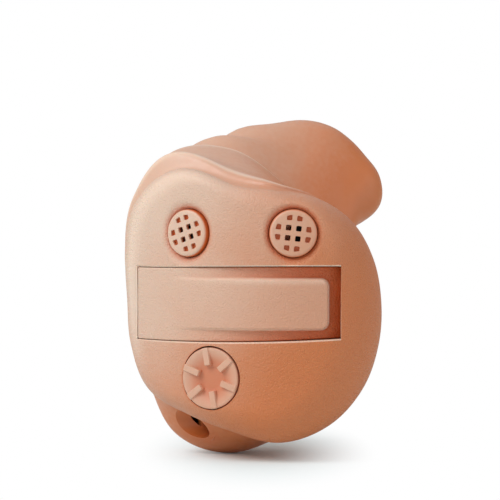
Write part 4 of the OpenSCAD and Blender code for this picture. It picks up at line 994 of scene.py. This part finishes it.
def moulded(name, roughness, grain, lift, shaded=0.7, paler=0.0, seam=False, deeper=0.0):
    """Grained acrylic with clouds; paler to the upper left as painted light, painted shade where sunk,
    painted highlights on stored lines and the seam.
    """
    paint = Paint(name)
    fine = paint.noise(grain)
    clouds = paint.noise(CLOUD_SIZE, 3).step(0.25, 0.75)
    # Painted light from the upper left, as a paler tone on that side
    painted_light = paint.node("VectorMath", {"operation": "DOT_PRODUCT"}, {0: paint.place(), 1: PAINTED_LIGHT_WAY}, "Value")
    tone = (painted_light + clouds * CLOUD_SHARE + fine * GRAIN_SHARE).step(*PAINTED_LIGHT_RANGE) * (1 - paler) + deeper
    # Painted shade: the stored share darkens the colour towards SKIN_SHADE where the surface is sunk
    sunk = paint.node("Attribute", {"attribute_name": "sunk"}, {}, "Fac").step(0.02, 1)
    # Painted highlights: the stored share makes the colour pale
    painted_highlight = paint.node("Attribute", {"attribute_name": "painted_highlight"}, {}, "Fac")
    # Painted highlight: a pale line along the door's opening on the face
    if seam:
        past = past_opening(paint)
        line = past.step(0.02, SEAM_HIGHLIGHT / 2) * (1 - past.step(SEAM_HIGHLIGHT, SEAM_HIGHLIGHT * 1.5))
        painted_highlight = painted_highlight.sum("MAXIMUM", line)
    skin = paint.colours(sunk * shaded, paint.colours(tone, SKIN_PALE, SKIN_DEEP), SKIN_SHADE)
    paint.set(Base_Color=paint.colours(painted_highlight * HIGHLIGHT_SHARE, skin, SKIN_HIGHLIGHT),
              Roughness=fine.step(0.3, 0.7) * 0.1 + roughness, IOR=1.49, Specular_IOR_Level=0.6,
              Subsurface_Weight=0.12, Subsurface_Scale=0.6 * MM, Subsurface_Radius=(1.0, 0.42, 0.22),
              Coat_Weight=0.1, Coat_Roughness=0.5)
    paint.bump(fine, lift)
    return paint.material


def plain(name, tone, roughness, metal=0.0, grain=0.2, lift=0.004, **more):
    """A plain finish with a little unevenness in its tone, 0 to 255 a part, and its roughness."""
    paint = Paint(name)
    fine = paint.noise(grain, 3)
    tone = level(*tone)
    darker = tuple(c * 0.86 for c in tone)
    paint.set(Base_Color=paint.colours(fine.step(0.3, 0.7), darker, tone), Metallic=metal,
              Roughness=fine.step(0.3, 0.7) * 0.12 + roughness, **more)
    paint.bump(fine, lift)
    return paint.material


FINISHES = {
    "face": moulded("grained_acrylic", 0.42, 0.1, 0.07, shaded=0.45, seam=True),
    "shell": moulded("smooth_acrylic", 0.36, 0.3, 0.008, shaded=0.25, deeper=0.2),
    "door": moulded("door_acrylic", 0.42, 0.1, 0.07, shaded=1.0, paler=0.42),
    "grille": moulded("pierced_acrylic", 0.42, 0.2, 0.008, shaded=1.0, paler=0.3),
    "knob": moulded("knob_acrylic", 0.42, 0.2, 0.008, shaded=0.65, paler=0.5),
    "housing": moulded("bay_acrylic", 0.5, 0.2, 0.006),
    # A dark steel for the microphones, painted shade for the open holes in the covers
    "dark_steel": plain("shade_dark_steel", (52, 46, 44), 0.45, 0.6),
    "steel": plain("drawn_steel", (196, 198, 202), 0.32, 1.0),
    "cell_steel": plain("plated_steel", (205, 205, 202), 0.28, 1.0),
    "gold": plain("gilt_spring", (226, 186, 104), 0.3, 1.0),
    "nylon": plain("natural_nylon", (232, 229, 218), 0.45),
    "rubber": plain("black_rubber", (44, 43, 42), 0.7),
    "black_plastic": plain("black_plastic", (38, 39, 42), 0.4),
    "board": plain("green_board", (38, 98, 62), 0.4),
    "ceramic": plain("fired_ceramic", (168, 128, 92), 0.55),
    "copper": plain("enamelled_copper", (196, 116, 64), 0.35, 1.0, grain=0.08, lift=0.02),
    "clear_tube": plain("clear_tube", (214, 220, 222), 0.2, Transmission_Weight=0.7, IOR=1.42),
}


def finish_with(made, finish):
    """Gives a piece one of the finishes as its only material."""
    made.data.materials.clear()
    made.data.materials.append(FINISHES[finish])


# The floor, the light and the camera, in the frame's metres apart from the view's millimetres and pixels
WORLD_LEVEL = 0.5
KEY_AT, KEY_SIZE, KEY_POWER = (-0.14, -0.10, 0.16), 0.14, 0.29
SIDE_AT, SIDE_SIZE, SIDE_POWER = (0.17, -0.09, 0.06), 0.16, 0.055
FLOOR_SIZE, FLOOR_DROP, FLOOR_TONE = 0.6, 0.00002, (0.84, 0.98, 1.0)
FLOOR_SQUASH, FLOOR_FADE = 0.3, (0.001, 0.0075)
PICTURE, SENSOR, PX_PER_MM, CAMERA_RISE, VIEW_FAR, VIEW_DEPTH = 500, 36, 17.0, 2, 150, 4.5
AIM_DEPTH, TARGET_X, TARGET_Y = 6, 255, 300


def stage_floor():
    """A pale floor that is plain white away from the object and keeps the object's shadow."""
    mesh = bpy.data.meshes.new("floor")
    corners = [(x * FLOOR_SIZE, y * FLOOR_SIZE, 0) for x, y in ((-1, -1), (1, -1), (1, 1), (-1, 1))]
    mesh.from_pydata(corners, [], [(0, 1, 2, 3)])
    floor = new_object("floor", mesh)
    floor.location.z = -FLOOR_DROP
    paint = Paint("white_floor")
    paint.set(Base_Color=FLOOR_TONE, Roughness=0.7, Specular_IOR_Level=0.2)
    spot = paint.node("TexCoord", {}, {}, "Object")
    squashed = paint.node("VectorMath", {"operation": "MULTIPLY"}, {0: spot, 1: (1, FLOOR_SQUASH, 1)})
    far = paint.node("VectorMath", {"operation": "LENGTH"}, {0: squashed}, "Value").step(*FLOOR_FADE)
    glow = paint.node("Emission", {}, {"Color": (1.0, 1.0, 1.0), "Strength": 1.0})
    seen = paint.node("LightPath", {}, {}, "Is Camera Ray")
    blend = paint.node("MixShader", {}, {0: far * seen, 1: Wire(paint, paint.shader.outputs[0]), 2: glow})
    paint.feed(paint.tree.nodes["Material Output"].inputs["Surface"], blend)
    mesh.materials.append(paint.material)


def soft_light(name, place, size, power, aim):
    """A round white lamp at that place, turned to the aim."""
    lamp = bpy.data.lights.new(name, "AREA")
    lamp.shape, lamp.size, lamp.energy = "DISK", size, power
    made = new_object(name, lamp)
    made.location = place
    made.rotation_euler = (Vector(aim) - Vector(place)).to_track_quat("-Z", "Y").to_euler()


def light_and_camera():
    """White surroundings, a broad light from the upper left, a weak one from the right, and the view."""
    world = bpy.data.worlds.new("surroundings")
    scene.world = world
    world.use_nodes = True
    tree = world.node_tree
    back = tree.nodes["Background"]
    back.inputs["Color"].default_value = (1, 1, 1, 1)
    path = tree.nodes.new("ShaderNodeLightPath")
    pick = tree.nodes.new("ShaderNodeMapRange")
    pick.inputs["To Min"].default_value = WORLD_LEVEL
    tree.links.new(path.outputs["Is Camera Ray"], pick.inputs["Value"])
    tree.links.new(pick.outputs[0], back.inputs["Strength"])
    aim = placed([0, AIM_DEPTH, 0])
    soft_light("key", KEY_AT, KEY_SIZE, KEY_POWER, aim)
    soft_light("side", SIDE_AT, SIDE_SIZE, SIDE_POWER, aim)
    scene.view_settings.view_transform = "Standard"
    camera = new_object("camera", bpy.data.cameras.new("camera"))
    rise = math.radians(CAMERA_RISE)
    ahead = Vector((0, math.cos(rise), -math.sin(rise)))
    up = Vector((0, math.sin(rise), math.cos(rise)))
    target = Vector(placed([0, VIEW_DEPTH, 0]))
    camera.location = target - ahead * VIEW_FAR * MM
    right_by = (PICTURE / 2 - TARGET_X) / PX_PER_MM * MM
    up_by = (TARGET_Y - PICTURE / 2) / PX_PER_MM * MM
    look = (target + Vector((right_by, 0, 0)) + up * up_by - camera.location).normalized()
    camera.rotation_euler = look.to_track_quat("-Z", "Y").to_euler()
    camera.data.sensor_width = SENSOR
    camera.data.lens = SENSOR * VIEW_FAR / (PICTURE / PX_PER_MM)
    camera.data.clip_start, camera.data.clip_end = 0.01, 5
    scene.camera = camera


finish_with(build_face(), "face")
finish_with(build_shell(), "shell")
finish_with(build_door(), "door")
finish_with(build_cover("front", FRONT_MIC_X, FRONT_COVER_TURN), "grille")
finish_with(build_cover("rear", REAR_MIC_X, REAR_COVER_TURN), "grille")
finish_with(build_knob(), "knob")
for part in frame["record"]["subparts"]:
    node = frame["nodes"][part["node"]]
    # Painted shade: the microphones are darkened so the open holes in the covers look dark
    dark = part["node"] in ("front_mic", "rear_mic")
    if not node.hide_render:
        finish_with(node, "dark_steel" if dark else part["material_slot"])
stage_floor()
light_and_camera()
